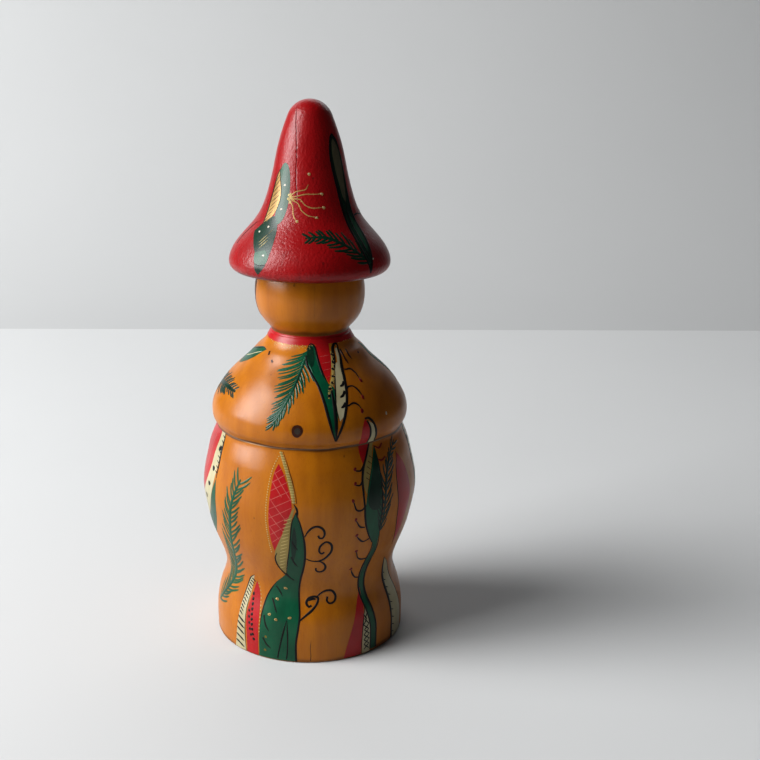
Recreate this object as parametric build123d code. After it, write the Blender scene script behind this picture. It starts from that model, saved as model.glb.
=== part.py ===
"""Turned wooden gnome box: a hollow figure whose upper half lifts off as a lid.

Millimetres, +Z up. The origin is the centre of the flat foot, and the face side is -Y.
Every piece is a solid of revolution about Z, so each one is drawn as a half outline of (radius, height) points.
"""

import os

from build123d import *

# Heights along the turning axis.
TOTAL_HEIGHT = 200.0
SEAM_Z = 83.0  # the V-groove where the figure opens
NECK_Z = 118.3  # the crease between cape and head
HEAD_TOP_Z = 140.3  # flat top of the head, which is also the hat's underside

# Outside radii.
FOOT_RADIUS = 35.8
WAIST_RADIUS = 32.1
BELLY_RADIUS = 40.1
SEAM_RADIUS = 34.5
CAPE_RADIUS = 36.25
NECK_RADIUS = 14.1
HEAD_RADIUS = 19.95
HEAD_SHOULDER_RADIUS = 18.6
BRIM_RADIUS = 29.1
TIP_RADIUS = 8.4
TIP_START_ANGLE = 22.0  # degrees above level, where the tip's dome meets the slope

# The push-fit joint: a spigot on the cup enters a rebate in the lid.
SPIGOT_RADIUS = 31.0
SPIGOT_HEIGHT = 9.0
SPIGOT_CHAMFER = 0.6
FIT_CLEARANCE = 0.06
REBATE_HEADROOM = 0.6

# Hollows.
CUP_FLOOR_Z = 7.0
CUP_FLOOR_CORNER = 4.0  # size of the soft corner between bore and floor
CUP_MOUTH_RADIUS = 27.4
CUP_BELLY_BORE_RADIUS = 31.2
CUP_WAIST_BORE_RADIUS = 26.8
LID_BORE_RADIUS = 28.6
LID_APEX_Z = 106.2

# The dowel that strings cape, head and hat together.
DOWEL_RADIUS = 4.0
DOWEL_LENGTH = 44.0
DOWEL_CHAMFER = 0.8
DOWEL_BOTTOM_Z = 110.0
HOLE_CLEARANCE = 0.05
HOLE_END_ROOM = 0.4

# Small edges.
FOOT_EDGE = 0.7
BRIM_ROUNDING = 3.4  # radius of the brim's rounded edge
BRIM_UNDERCUT = 1.9  # how far the flat underside stops short of the brim's widest point
BRIM_RISE = 2.9  # height of the brim's widest point above the underside

OUT_FOLDER = "parts"


def turned(outline):
    """The solid that a closed half outline, drawn as (radius, height), makes when it is turned about Z."""
    return revolve(Plane.XZ * make_face(outline), Axis.Z)


def dowel_hole(bottom_z, top_z):
    """A hole on the axis for the dowel, from bottom_z to top_z."""
    height = top_z - bottom_z
    return Pos(0, 0, bottom_z + height / 2) * Cylinder(DOWEL_RADIUS + HOLE_CLEARANCE, height)


def make_base_cup():
    """Lower body: foot, waist and belly outside, a bored hollow inside, and the spigot at the top."""
    side = Spline(
        (FOOT_RADIUS, FOOT_EDGE),
        (FOOT_RADIUS, 9.5),
        (34.3, 17.8),
        (WAIST_RADIUS, 25.5),
        (33.8, 34.5),
        (37.6, 45.0),
        (39.1, 51.8),
        (BELLY_RADIUS, 60.0),
        (38.1, 71.5),
        (35.4, 80.0),
        tangents=[(0, 1), (-0.42, 1)],
    )
    groove = Spline(side @ 1, (SEAM_RADIUS, SEAM_Z), tangents=[side % 1, (-0.12, 1)])
    foot_edge = RadiusArc((FOOT_RADIUS - FOOT_EDGE, 0), side @ 0, -FOOT_EDGE)
    spigot_top = SEAM_Z + SPIGOT_HEIGHT
    spigot = Polyline(
        groove @ 1,
        (SPIGOT_RADIUS, SEAM_Z),
        (SPIGOT_RADIUS, spigot_top - SPIGOT_CHAMFER),
        (SPIGOT_RADIUS - SPIGOT_CHAMFER, spigot_top),
        (CUP_MOUTH_RADIUS, spigot_top),
        (CUP_MOUTH_RADIUS, SEAM_Z),
    )
    bore = Spline(
        spigot @ 1,
        (CUP_BELLY_BORE_RADIUS, 59.0),
        (CUP_WAIST_BORE_RADIUS, 26.0),
        (CUP_WAIST_BORE_RADIUS, CUP_FLOOR_Z + CUP_FLOOR_CORNER),
        tangents=[(0, -1), (0, -1)],
    )
    corner = Spline(
        bore @ 1,
        (CUP_WAIST_BORE_RADIUS - CUP_FLOOR_CORNER, CUP_FLOOR_Z),
        tangents=[(0, -1), (-1, 0)],
    )
    close = Polyline(corner @ 1, (0, CUP_FLOOR_Z), (0, 0), foot_edge @ 0)
    return turned([foot_edge, side, groove, spigot, bore, corner, close])


def make_cape_lid():
    """Upper body: the sloping cape outside, the rebate and a domed hollow inside, and the neck on top."""
    rebate_radius = SPIGOT_RADIUS + FIT_CLEARANCE
    rebate_top = SEAM_Z + SPIGOT_HEIGHT + REBATE_HEADROOM
    rim = Spline(
        (SEAM_RADIUS, SEAM_Z),
        (35.6, 85.0),
        (CAPE_RADIUS, 88.0),
        (35.5, 92.2),
        (33.4, 96.2),
        (30.7, 100.0),
        (24.7, 106.0),
        (21.6, 109.0),
        (18.9, 112.0),
        (15.9, 115.2),
        (14.4, 117.3),
        (NECK_RADIUS, NECK_Z),
        tangents=[(0.25, 1), (-0.15, 1)],
    )
    rebate = Polyline(
        rim @ 0,
        (rebate_radius, SEAM_Z),
        (rebate_radius, rebate_top),
        (LID_BORE_RADIUS, rebate_top),
    )
    dome = Spline(
        rebate @ 1,
        (26.6, 96.2),
        (20.6, 101.6),
        (10.0, 105.4),
        (0, LID_APEX_Z),
        tangents=[(-0.2, 1), (-1, 0)],
    )
    top = Polyline(dome @ 1, (0, NECK_Z), rim @ 1)
    return turned([rim, rebate, dome, top]) - dowel_hole(DOWEL_BOTTOM_Z - HOLE_END_ROOM, NECK_Z)


def make_head():
    """Barrel-shaped head, drilled right through for the dowel."""
    cheek = Spline(
        (NECK_RADIUS, NECK_Z),
        (15.9, 120.8),
        (18.4, 124.3),
        (HEAD_RADIUS, 132.0),
        (HEAD_SHOULDER_RADIUS, HEAD_TOP_Z),
        tangents=[(0.35, 1), (-0.3, 1)],
    )
    close = Polyline(cheek @ 1, (0, HEAD_TOP_Z), (0, NECK_Z), cheek @ 0)
    return turned([cheek, close]) - dowel_hole(NECK_Z, HEAD_TOP_Z)


def make_hat():
    """Solid pointed hat with a rounded brim, and a blind hole in its underside."""
    edge = RadiusArc(
        (BRIM_RADIUS - BRIM_UNDERCUT, HEAD_TOP_Z),
        (BRIM_RADIUS, HEAD_TOP_Z + BRIM_RISE),
        -BRIM_ROUNDING,
    )
    tip = CenterArc(
        (0, TOTAL_HEIGHT - TIP_RADIUS),
        TIP_RADIUS,
        TIP_START_ANGLE,
        90 - TIP_START_ANGLE,
    )
    slope = Spline(
        edge @ 1,
        (28.6, 146.0),
        (24.9, 152.0),
        (18.4, 159.9),
        (15.0, 168.3),
        (13.1, 176.0),
        (11.4, 184.0),
        (9.55, 190.0),
        tip @ 0,
        tangents=[edge % 1, tip % 0],
        tangent_scalars=[1, 1],
    )
    close = Polyline(tip @ 1, (0, HEAD_TOP_Z), edge @ 0)
    dowel_top = DOWEL_BOTTOM_Z + DOWEL_LENGTH
    return turned([edge, slope, tip, close]) - dowel_hole(HEAD_TOP_Z, dowel_top + HOLE_END_ROOM)


def make_spine_dowel():
    """Plain dowel with chamfered ends, glued through the head into the cape and the hat."""
    dowel = Pos(0, 0, DOWEL_BOTTOM_Z + DOWEL_LENGTH / 2) * Cylinder(DOWEL_RADIUS, DOWEL_LENGTH)
    return chamfer(dowel.edges().filter_by(GeomType.CIRCLE), DOWEL_CHAMFER)


def main():
    """Make each piece and write it to its own STEP file."""
    pieces = {
        "base_cup": make_base_cup(),
        "cape_lid": make_cape_lid(),
        "head": make_head(),
        "hat": make_hat(),
        "spine_dowel": make_spine_dowel(),
    }
    os.makedirs(OUT_FOLDER, exist_ok=True)
    for name, solid in pieces.items():
        export_step(solid, os.path.join(OUT_FOLDER, name + ".step"))
        print(name, "volume", round(solid.volume), "mm3")


main()
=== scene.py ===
"""Looks of the turned wooden gnome box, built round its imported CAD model.

Blender works in metres. Places on the painted skins are typed as (degrees, millimetres): degrees run round
the figure from the middle of its back, to the right as one faces the back, and millimetres are heights above
the foot.
"""

import math
import random

import bmesh
import bpy
import numpy as np
from mathutils import Matrix, Vector
from mathutils.geometry import delaunay_2d_cdt


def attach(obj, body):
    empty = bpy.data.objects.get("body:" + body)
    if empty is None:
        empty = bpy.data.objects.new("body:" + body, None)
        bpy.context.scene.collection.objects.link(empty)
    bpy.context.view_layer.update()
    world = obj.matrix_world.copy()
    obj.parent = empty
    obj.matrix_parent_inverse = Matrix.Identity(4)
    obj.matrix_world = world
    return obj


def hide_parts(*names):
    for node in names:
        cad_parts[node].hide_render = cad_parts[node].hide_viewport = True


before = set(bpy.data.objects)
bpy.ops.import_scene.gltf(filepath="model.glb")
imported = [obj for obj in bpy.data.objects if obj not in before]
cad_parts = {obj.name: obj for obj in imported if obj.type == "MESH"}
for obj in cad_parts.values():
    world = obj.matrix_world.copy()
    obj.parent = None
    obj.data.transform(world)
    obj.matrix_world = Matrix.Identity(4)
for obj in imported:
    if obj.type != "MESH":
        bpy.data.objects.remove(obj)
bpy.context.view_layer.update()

MM = 0.001
BACK_LINE = 150.0  # the middle of the back, in degrees round from the face side (-Y) by way of +X

# Paint thickness, in mm above the wood, for the layers that lie on each other.
GROUND_COAT = 0.04
SECOND_COAT = 0.065
FINE_LINES = 0.09
COAT = 0.36  # how much clear lacquer lies over wood and paint
PAINT_FOOT = -0.06  # how deep the underside of a paint film sits in the wood

# ---------------------------------------------------------------------------------------------------------
# Turned skins, read from the CAD
# ---------------------------------------------------------------------------------------------------------


def seam_chain(node):
    """The half section of a turned CAD node as ordered (radius, height) in mm, and whether it is a loop."""
    mesh = bmesh.new()
    mesh.from_mesh(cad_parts[node].data)
    bmesh.ops.remove_doubles(mesh, verts=mesh.verts, dist=1e-7)
    on_seam = {v for v in mesh.verts if abs(v.co.y) < 1e-7 and v.co.x > -1e-9}
    neighbours = {v: [] for v in on_seam}
    for edge in mesh.edges:
        a, b = edge.verts
        if a in on_seam and b in on_seam:
            neighbours[a].append(b)
            neighbours[b].append(a)
    ends = sorted((v for v in on_seam if len(neighbours[v]) == 1), key=lambda v: v.co.z)
    start = ends[0] if ends else min(on_seam, key=lambda v: (v.co.z, v.co.x))
    chain, before, here = [start], None, start
    while True:
        onward = [v for v in neighbours[here] if v is not before and v not in chain[1:]]
        if not onward or onward[0] is start:
            break
        before, here = here, onward[0]
        chain.append(here)
    points = [(v.co.x / MM, v.co.z / MM) for v in chain]
    mesh.free()
    is_loop = not ends
    if not is_loop:
        if points[0][0] > 0.01:
            points.insert(0, (0.0, points[0][1]))
        if points[-1][0] > 0.01:
            points.append((0.0, points[-1][1]))
    return np.array(points), is_loop


def catmull_rom(points, step, closed=False):
    """A smooth curve through points, sampled about every step."""
    pts = np.asarray(points, float)
    if len(pts) < 3 and not closed:
        count = max(2, int(np.linalg.norm(pts[-1] - pts[0]) / step) + 1)
        return np.linspace(pts[0], pts[-1], count)
    if closed:
        padded = np.vstack([pts[-1], pts, pts[0], pts[1]])
    else:
        padded = np.vstack([2 * pts[0] - pts[1], pts, 2 * pts[-1] - pts[-2]])
    out = []
    for a, b, c, d in zip(padded, padded[1:], padded[2:], padded[3:]):
        count = max(2, int(math.ceil(np.linalg.norm(c - b) / step)))
        span = max(np.linalg.norm(c - b), 1e-9)
        before, after = max(np.linalg.norm(b - a), 1e-9), max(np.linalg.norm(d - c), 1e-9)
        if before < span:
            tangent_b = ((b - a) / before * span + (c - b)) * (before / (before + span))
        else:
            tangent_b = (c - a) * span / (before + span)
        tangent_c = (d - b) * span / (span + after)
        for t in np.arange(count) / count:
            h1, h2 = 2 * t**3 - 3 * t**2 + 1, t**3 - 2 * t**2 + t
            h3, h4 = -2 * t**3 + 3 * t**2, t**3 - t**2
            out.append(h1 * b + h2 * tangent_b + h3 * c + h4 * tangent_c)
    if not closed:
        out.append(pts[-1])
    return np.array(out)


def dense_section(node, step=0.4, corner=25.0):
    """The section of a node, resampled smoothly between its corners."""
    points, is_loop = seam_chain(node)
    if is_loop:
        points = np.vstack([points, points[:1]])
    runs, start = [], 0
    for i in range(1, len(points) - 1):
        into, out_of = points[i] - points[i - 1], points[i + 1] - points[i]
        cosine = into @ out_of / np.linalg.norm(into) / np.linalg.norm(out_of)
        if math.degrees(math.acos(np.clip(cosine, -1, 1))) > corner:
            runs.append(points[start:i + 1])
            start = i
    runs.append(points[start:])
    sampled = [catmull_rom(run, step)[:-1] for run in runs]
    if not is_loop:
        sampled.append(points[-1:])
    return np.vstack(sampled), is_loop


def unevenness(azimuth, height):
    """How far the hand-sanded skin stands in or out, in mm, by degrees and millimetres."""
    a = np.radians(azimuth)
    return (0.045 * np.sin(2 * a + 0.7 + height * 0.045)
            + 0.03 * np.sin(3 * a - height * 0.11 + 1.9)
            + 0.02 * np.sin(5 * a + height * 0.21)
            + 0.012 * np.sin(9 * a - height * 0.37 + 0.4))


class Skin:
    """The painted outside of one turned node: its radius and slope at each height."""

    LEVEL_STEP = 0.1

    def __init__(self, node, body):
        self.node, self.body = node, body
        self.section, self.is_loop = dense_section(node)
        low, high = self.section[:, 1].min(), self.section[:, 1].max()
        self.levels = np.arange(low, high + self.LEVEL_STEP, self.LEVEL_STEP).clip(low, high - 1e-4)
        self.radii = np.zeros(len(self.levels))
        ring = np.vstack([self.section, self.section[:1]]) if self.is_loop else self.section
        for (r0, z0), (r1, z1) in zip(ring, ring[1:]):
            if abs(z1 - z0) < 1e-9:
                continue
            share = (self.levels - z0) / (z1 - z0)
            hit = (share >= 0) & (share <= 1)
            self.radii[hit] = np.maximum(self.radii[hit], (r0 + share * (r1 - r0))[hit])
        self.slopes = np.gradient(self.radii, self.levels + np.arange(len(self.levels)) * 1e-9)
        lengths = np.hypot(np.diff(self.radii), np.diff(self.levels))
        self.lengths = np.concatenate([[0], np.cumsum(lengths)])

    def radius(self, height):
        return np.interp(height, self.levels, self.radii)

    def along(self, height):
        """Distance along the skin, in mm, from its foot to a height."""
        return np.interp(height, self.levels, self.lengths)

    def height_at(self, length):
        return np.interp(length, self.lengths, self.levels)

    def place(self, degrees, height, lift=0.0):
        """Points in metres, lift mm above the skin."""
        degrees, height = np.asarray(degrees, float), np.asarray(height, float)
        azimuth = degrees + BACK_LINE
        slope = np.interp(height, self.levels, self.slopes)
        size = np.sqrt(1 + slope**2)
        out, up = 1 / size, -slope / size
        radius = self.radius(height) + unevenness(azimuth, height) + out * lift
        z = height + up * lift
        a = np.radians(azimuth)
        return np.stack([np.sin(a) * radius, -np.cos(a) * radius, z], -1) * MM


BASE = Skin("base_cup", "base")
CAPE = Skin("cape_lid", "lid")
HEAD = Skin("head", "lid")
HAT = Skin("hat", "lid")
SEAM = float(CAPE.levels[0])  # heights, in mm, of the joints between the turned pieces
NECK = float(CAPE.levels[-1])
CROWN = float(HEAD.levels[-1])

# ---------------------------------------------------------------------------------------------------------
# Materials
# ---------------------------------------------------------------------------------------------------------


class Recipe:
    """A material under construction. Each call adds a node and returns its output socket."""

    def __init__(self, name, **sockets):
        self.material = bpy.data.materials.new(name)
        self.material.use_nodes = True
        self.tree = self.material.node_tree
        self.shader = self.tree.nodes["Principled BSDF"]
        self.place = self.node("ShaderNodeTexCoord", "Object")
        for socket, value in sockets.items():
            self.shader.inputs[socket.replace("_", " ")].default_value = value

    def node(self, kind, output=0, settings=None, **inputs):
        made = self.tree.nodes.new(kind)
        for key, value in (settings or {}).items():
            setattr(made, key, value)
        for key, value in inputs.items():
            socket = made.inputs[int(key[1:])] if key[0] == "i" and key[1:].isdigit() else made.inputs[key]
            self.feed(socket, value)
        return made.outputs[output]

    def feed(self, socket, value):
        if isinstance(value, bpy.types.NodeSocket):
            self.tree.links.new(value, socket)
        else:
            socket.default_value = value

    def stretched(self, along=1.0, across=1.0, turn=0.0):
        return self.node("ShaderNodeMapping", Vector=self.place, Scale=(across, across, along),
            Rotation=(0, 0, turn))

    def noise(self, scale, detail=4.0, along=1.0, roughness=0.55, distortion=0.0):
        return self.node("ShaderNodeTexNoise", "Fac", Vector=self.stretched(along), Scale=scale,
            Detail=detail, Roughness=roughness, Distortion=distortion)

    def range(self, value, low, high, to_low=0.0, to_high=1.0):
        return self.node("ShaderNodeMapRange", i0=value, i1=low, i2=high, i3=to_low, i4=to_high)

    def math(self, operation, a, b=0.0):
        return self.node("ShaderNodeMath", 0, {"operation": operation}, i0=a, i1=b)

    def mix(self, share, a, b, blend="MIX"):
        return self.node("ShaderNodeMix", 2, {"data_type": "RGBA", "blend_type": blend}, i0=share, i6=a, i7=b)

    def attribute(self, name):
        return self.node("ShaderNodeAttribute", "Fac", {"attribute_name": name})

    def bump(self, height, strength, distance_mm, onto=None):
        inputs = {"Height": height, "Strength": strength, "Distance": distance_mm * MM}
        if onto is not None:
            inputs["Normal"] = onto
        return self.node("ShaderNodeBump", **inputs)

    def finish(self, colour, normal, roughness=None, coat_normal=None):
        self.feed(self.shader.inputs["Base Color"], colour)
        self.feed(self.shader.inputs["Normal"], normal)
        self.feed(self.shader.inputs["Coat Normal"], coat_normal if coat_normal is not None else normal)
        if roughness is not None:
            self.feed(self.shader.inputs["Roughness"], roughness)
        return self.material


def colour(red, green, blue):
    return (red, green, blue, 1.0)


def wood_grain(recipe, light, middle, dark):
    """Colour and relief of close-grained wood with the grain upright."""
    layers = recipe.node("ShaderNodeTexWave", "Fac", {"wave_type": "BANDS", "bands_direction": "X"},
        Vector=recipe.stretched(0.06, 1.0, 0.5), Scale=55.0, Distortion=7.0, Detail=3.0, i4=1.2)
    streaks = recipe.noise(170.0, 6.0, 0.045, 0.6)
    cloud = recipe.noise(24.0, 3.0, 0.5, 0.5, 0.4)
    fibres = recipe.noise(1300.0, 3.0, 0.03, 0.6)
    tone = recipe.mix(recipe.range(cloud, 0.3, 0.72), middle, light)
    tone = recipe.mix(recipe.range(layers, 0.2, 1.0, 0.0, 0.2), tone, dark)
    tone = recipe.mix(recipe.range(streaks, 0.45, 0.8, 0.0, 0.5), tone, dark)
    tone = recipe.mix(recipe.range(fibres, 0.5, 0.8, 0.0, 0.22), tone, dark)
    return tone, recipe.math("ADD", fibres, streaks)


def flecks(recipe, tone, shade):
    """Fine pores, and a few specks of dirt under the lacquer."""
    pores = recipe.noise(2200.0, 2.0, 0.1, 0.4)
    tone = recipe.mix(recipe.range(pores, 0.6, 0.78, 0.0, 0.22), tone, shade)
    specks = recipe.noise(420.0, 1.0, 0.7, 0.3)
    return recipe.mix(recipe.range(specks, 0.81, 0.84, 0.0, 0.6), tone, shade)


def grimed_and_shaded(recipe, tone, grime_and_shade):
    """Darkened where the mesh says that dirt, painted shade, a crack or a knot lies."""
    return recipe.mix(recipe.attribute("grime_and_shade"), tone, grime_and_shade)


def lacquer_waves(recipe, onto):
    """The normal of a brushed clear coat that is not quite level."""
    slow = recipe.bump(recipe.noise(90.0, 2.0), 0.25, 0.5, onto)
    return recipe.bump(recipe.noise(700.0, 2.0), 0.1, 0.12, slow)


def lacquered(name, coat, coat_roughness, **sockets):
    """A recipe with a clear coat over it."""
    return Recipe(name, Coat_Weight=coat, Coat_Roughness=coat_roughness, Coat_IOR=1.5,
        Specular_IOR_Level=0.08, **sockets)


def honey_lacquer():
    recipe = lacquered("honey_lacquered_wood", COAT, 0.24)
    tone, relief = wood_grain(recipe, colour(0.4, 0.13, 0.002), colour(0.33, 0.095, 0.002),
        colour(0.2, 0.046, 0.0015))
    tone = flecks(recipe, tone, colour(0.08, 0.022, 0.003))
    # the darkest colour for dirt, cracks and the knot, and for painted shade along grooves and edges
    tone = grimed_and_shaded(recipe, tone, colour(0.022, 0.006, 0.002))
    grain = recipe.bump(relief, 0.12, 0.1)
    roughness = recipe.range(recipe.noise(160.0, 3.0), 0.3, 0.7, 0.34, 0.5)
    return recipe.finish(tone, grain, roughness, lacquer_waves(recipe, grain))


def bare_wood():
    recipe = Recipe("bare_turned_wood", Specular_IOR_Level=0.3)
    tone, relief = wood_grain(recipe, colour(0.52, 0.35, 0.19), colour(0.46, 0.29, 0.14),
        colour(0.33, 0.18, 0.07))
    tone = flecks(recipe, tone, colour(0.2, 0.1, 0.04))
    # the darkest colour for dirt and cracks, and for painted shade along grooves and edges
    tone = grimed_and_shaded(recipe, tone, colour(0.03, 0.009, 0.003))
    rings = recipe.node("ShaderNodeTexWave", "Fac", {"wave_type": "BANDS", "bands_direction": "Z"},
                        Vector=recipe.place, Scale=420.0, Distortion=1.5, Detail=2.0)
    cut = recipe.bump(rings, 0.25, 0.12, recipe.bump(relief, 0.3, 0.12))
    return recipe.finish(tone, cut, recipe.range(recipe.noise(300.0), 0.3, 0.7, 0.5, 0.7))


def red_lacquer():
    recipe = lacquered("red_lacquered_wood", COAT, 0.3)
    cloud = recipe.noise(34.0, 3.0, 0.6)
    tone = recipe.mix(recipe.range(cloud, 0.3, 0.7), colour(0.19, 0.001, 0.002), colour(0.27, 0.0025, 0.0035))
    grain = recipe.noise(420.0, 5.0, 0.05, 0.6)
    tone = recipe.mix(recipe.range(grain, 0.5, 0.75, 0.0, 0.4), tone, colour(0.11, 0.0008, 0.0015))
    specks = recipe.noise(520.0, 1.0, 1.0, 0.3)
    tone = recipe.mix(recipe.range(specks, 0.76, 0.8, 0.0, 0.6), tone, colour(0.05, 0.002, 0.002))
    # the darkest colour for dirt and the crack, and for painted shade along the lower edge
    tone = grimed_and_shaded(recipe, tone, colour(0.035, 0.004, 0.004))
    pebble = recipe.bump(recipe.noise(1100.0, 2.0, 0.8, 0.5), 0.9, 0.18, recipe.bump(grain, 0.2, 0.1))
    roughness = recipe.range(recipe.noise(200.0, 3.0), 0.3, 0.7, 0.32, 0.46)
    return recipe.finish(tone, pebble, roughness, lacquer_waves(recipe, pebble))


def enamel(name, light, dark, brush_along=0.12, coat_roughness=0.26, metallic=0.0, coat=COAT):
    """Hand-brushed paint under the clear coat: two shades of one colour, streaked by the brush."""
    recipe = lacquered(name, coat, coat_roughness, Metallic=metallic)
    light, dark = colour(*light), colour(*dark)
    brush = recipe.noise(620.0, 4.0, brush_along, 0.6)
    patches = recipe.noise(110.0, 3.0, 0.5)
    tone = recipe.mix(recipe.range(patches, 0.32, 0.68), dark, light)
    tone = recipe.mix(recipe.range(brush, 0.45, 0.78, 0.0, 0.55), tone, dark)
    relief = recipe.bump(brush, 0.3, 0.08)
    roughness = recipe.range(patches, 0.3, 0.7, 0.3, 0.46)
    return recipe.finish(tone, relief, roughness, lacquer_waves(recipe, relief))


# Material name, colour slot, light and dark shade in linear red, green and blue, and what is unusual.
PAINTS = {
    "red": ("red_enamel", "red_paint", (0.37, 0.006, 0.008), (0.25, 0.003, 0.004), {}),
    "deep_red": ("deep_red_enamel", "red_paint", (0.15, 0.004, 0.004), (0.08, 0.002, 0.003), {}),
    "rose": ("rose_line_enamel", "red_paint", (0.42, 0.1, 0.08), (0.36, 0.05, 0.045), {}),
    "green": ("green_enamel", "green_paint", (0.0005, 0.066, 0.027), (0.0003, 0.036, 0.015), {}),
    "dark_green": ("dark_green_enamel", "green_paint", (0.0005, 0.022, 0.01), (0.0003, 0.01, 0.005), {}),
    "olive": ("olive_glaze", "green_paint", (0.13, 0.09, 0.006), (0.09, 0.07, 0.006), {}),
    "cream": ("cream_enamel", "cream_paint", (0.42, 0.38, 0.24), (0.3, 0.26, 0.14), {}),
    "khaki": ("khaki_enamel", "cream_paint", (0.27, 0.2, 0.06), (0.17, 0.12, 0.03), {}),
    "straw": ("straw_enamel", "cream_paint", (0.42, 0.33, 0.12), (0.34, 0.25, 0.08), {}),
    "black": ("black_enamel", "black_paint", (0.006, 0.005, 0.005), (0.002, 0.002, 0.002),
              {"coat_roughness": 0.45, "coat": 0.12}),
    "moss": ("moss_glaze", "green_paint", (0.1, 0.088, 0.048), (0.05, 0.045, 0.025), {}),
    "knot": ("knot_heart_wood", "honey_wood", (0.04, 0.03, 0.024), (0.014, 0.008, 0.005), {}),
    "brown": ("brown_enamel", "black_paint", (0.04, 0.01, 0.004), (0.018, 0.005, 0.002), {"coat": 0.15}),
    "gold": ("gold_bronze_paint", "gold_paint", (0.46, 0.29, 0.1), (0.28, 0.16, 0.045),
             {"brush_along": 0.8, "coat_roughness": 0.3, "metallic": 0.3}),
    "white": ("white_enamel", "cream_paint", (0.5, 0.47, 0.38), (0.38, 0.34, 0.27), {}),
}
MATERIALS = {"honey": honey_lacquer(), "bare": bare_wood(), "hat_red": red_lacquer()}
for paint, (title, paint_slot, light_shade, dark_shade, unusual) in PAINTS.items():
    MATERIALS[paint] = enamel(title, light_shade, dark_shade, **unusual)

# ---------------------------------------------------------------------------------------------------------
# Turned pieces
# ---------------------------------------------------------------------------------------------------------


def falloff(distance, inner, outer):
    """1 inside inner, 0 outside outer, smooth between."""
    t = np.clip((outer - distance) / (outer - inner), 0, 1)
    return t * t * (3 - 2 * t)


def wrap(degrees):
    """Degrees brought to -180..180."""
    return (np.asarray(degrees) + 180) % 360 - 180


ON_SKIN = 0.03  # a section point this close to the widest radius at its height is on the outside, in mm
AXIS_ZONE = 0.5  # what lies closer to the axis, in mm, is not part of the outside
CALM_RADIUS = 8  # the unevenness of the skin dies away inside this radius, in mm


class Flaw:
    """A crack, knot, dent, or line of dirt and painted shade: where it is, how deep it goes, in mm,
    how dark it is, and whether the faces inside a groove have it too."""

    def __init__(self, closeness, depth, darkness, reaches_in=False):
        self.closeness, self.depth, self.darkness, self.reaches_in = closeness, depth, darkness, reaches_in


def crack(offset_mm, low, high, half_width, depth, waver, darkness):
    """A drying crack that follows the upright grain, offset_mm to the right of the back line."""
    def closeness(degrees, height, radius):
        side = np.sin(np.radians(degrees)) * radius
        line = offset_mm + waver * np.sin(height * 0.35) + 0.4 * waver * np.sin(height * 1.3)
        at_back = np.cos(np.radians(degrees)) > 0
        ends = falloff(np.abs(height - (low + high) / 2), (high - low) / 2 - 3, (high - low) / 2)
        return falloff(np.abs(side - line), half_width * 0.3, half_width) * ends * at_back
    return Flaw(closeness, depth, darkness)


def knot(degrees_at, height_at, half_width, half_height, depth):
    """A small dark pin knot, a little sunken."""
    def closeness(degrees, height, radius):
        across = np.radians(wrap(degrees - degrees_at)) * radius / half_width
        up = (height - height_at) / half_height
        edge = 1 + 0.12 * np.sin(3 * np.arctan2(up, across) + 0.6) + 0.06 * np.sin(7 * np.arctan2(up, across))
        return falloff(np.hypot(across, up) / edge, 0.8, 1.1)
    return Flaw(closeness, depth, 0.45)


def dirt_and_shade_line(height_at, inner, outer, darkness, beyond=0.0):
    """Painted shade and old dirt along a groove, a joint or an edge, where shade falls."""
    def closeness(degrees, height, radius):
        waver = 0.25 * np.sin(np.radians(degrees) * 5 + height_at) + 0.15 * np.sin(np.radians(degrees) * 13)
        return falloff(np.abs(height - height_at + waver), inner, outer) * (radius > beyond)
    return Flaw(closeness, 0.0, darkness, True)


def dent(degrees_at, height_at, size, depth):
    def closeness(degrees, height, radius):
        across = np.radians(wrap(degrees - degrees_at)) * radius
        return falloff(np.hypot(across, height - height_at), 0.0, size)
    return Flaw(closeness, depth, 0.12)


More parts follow.
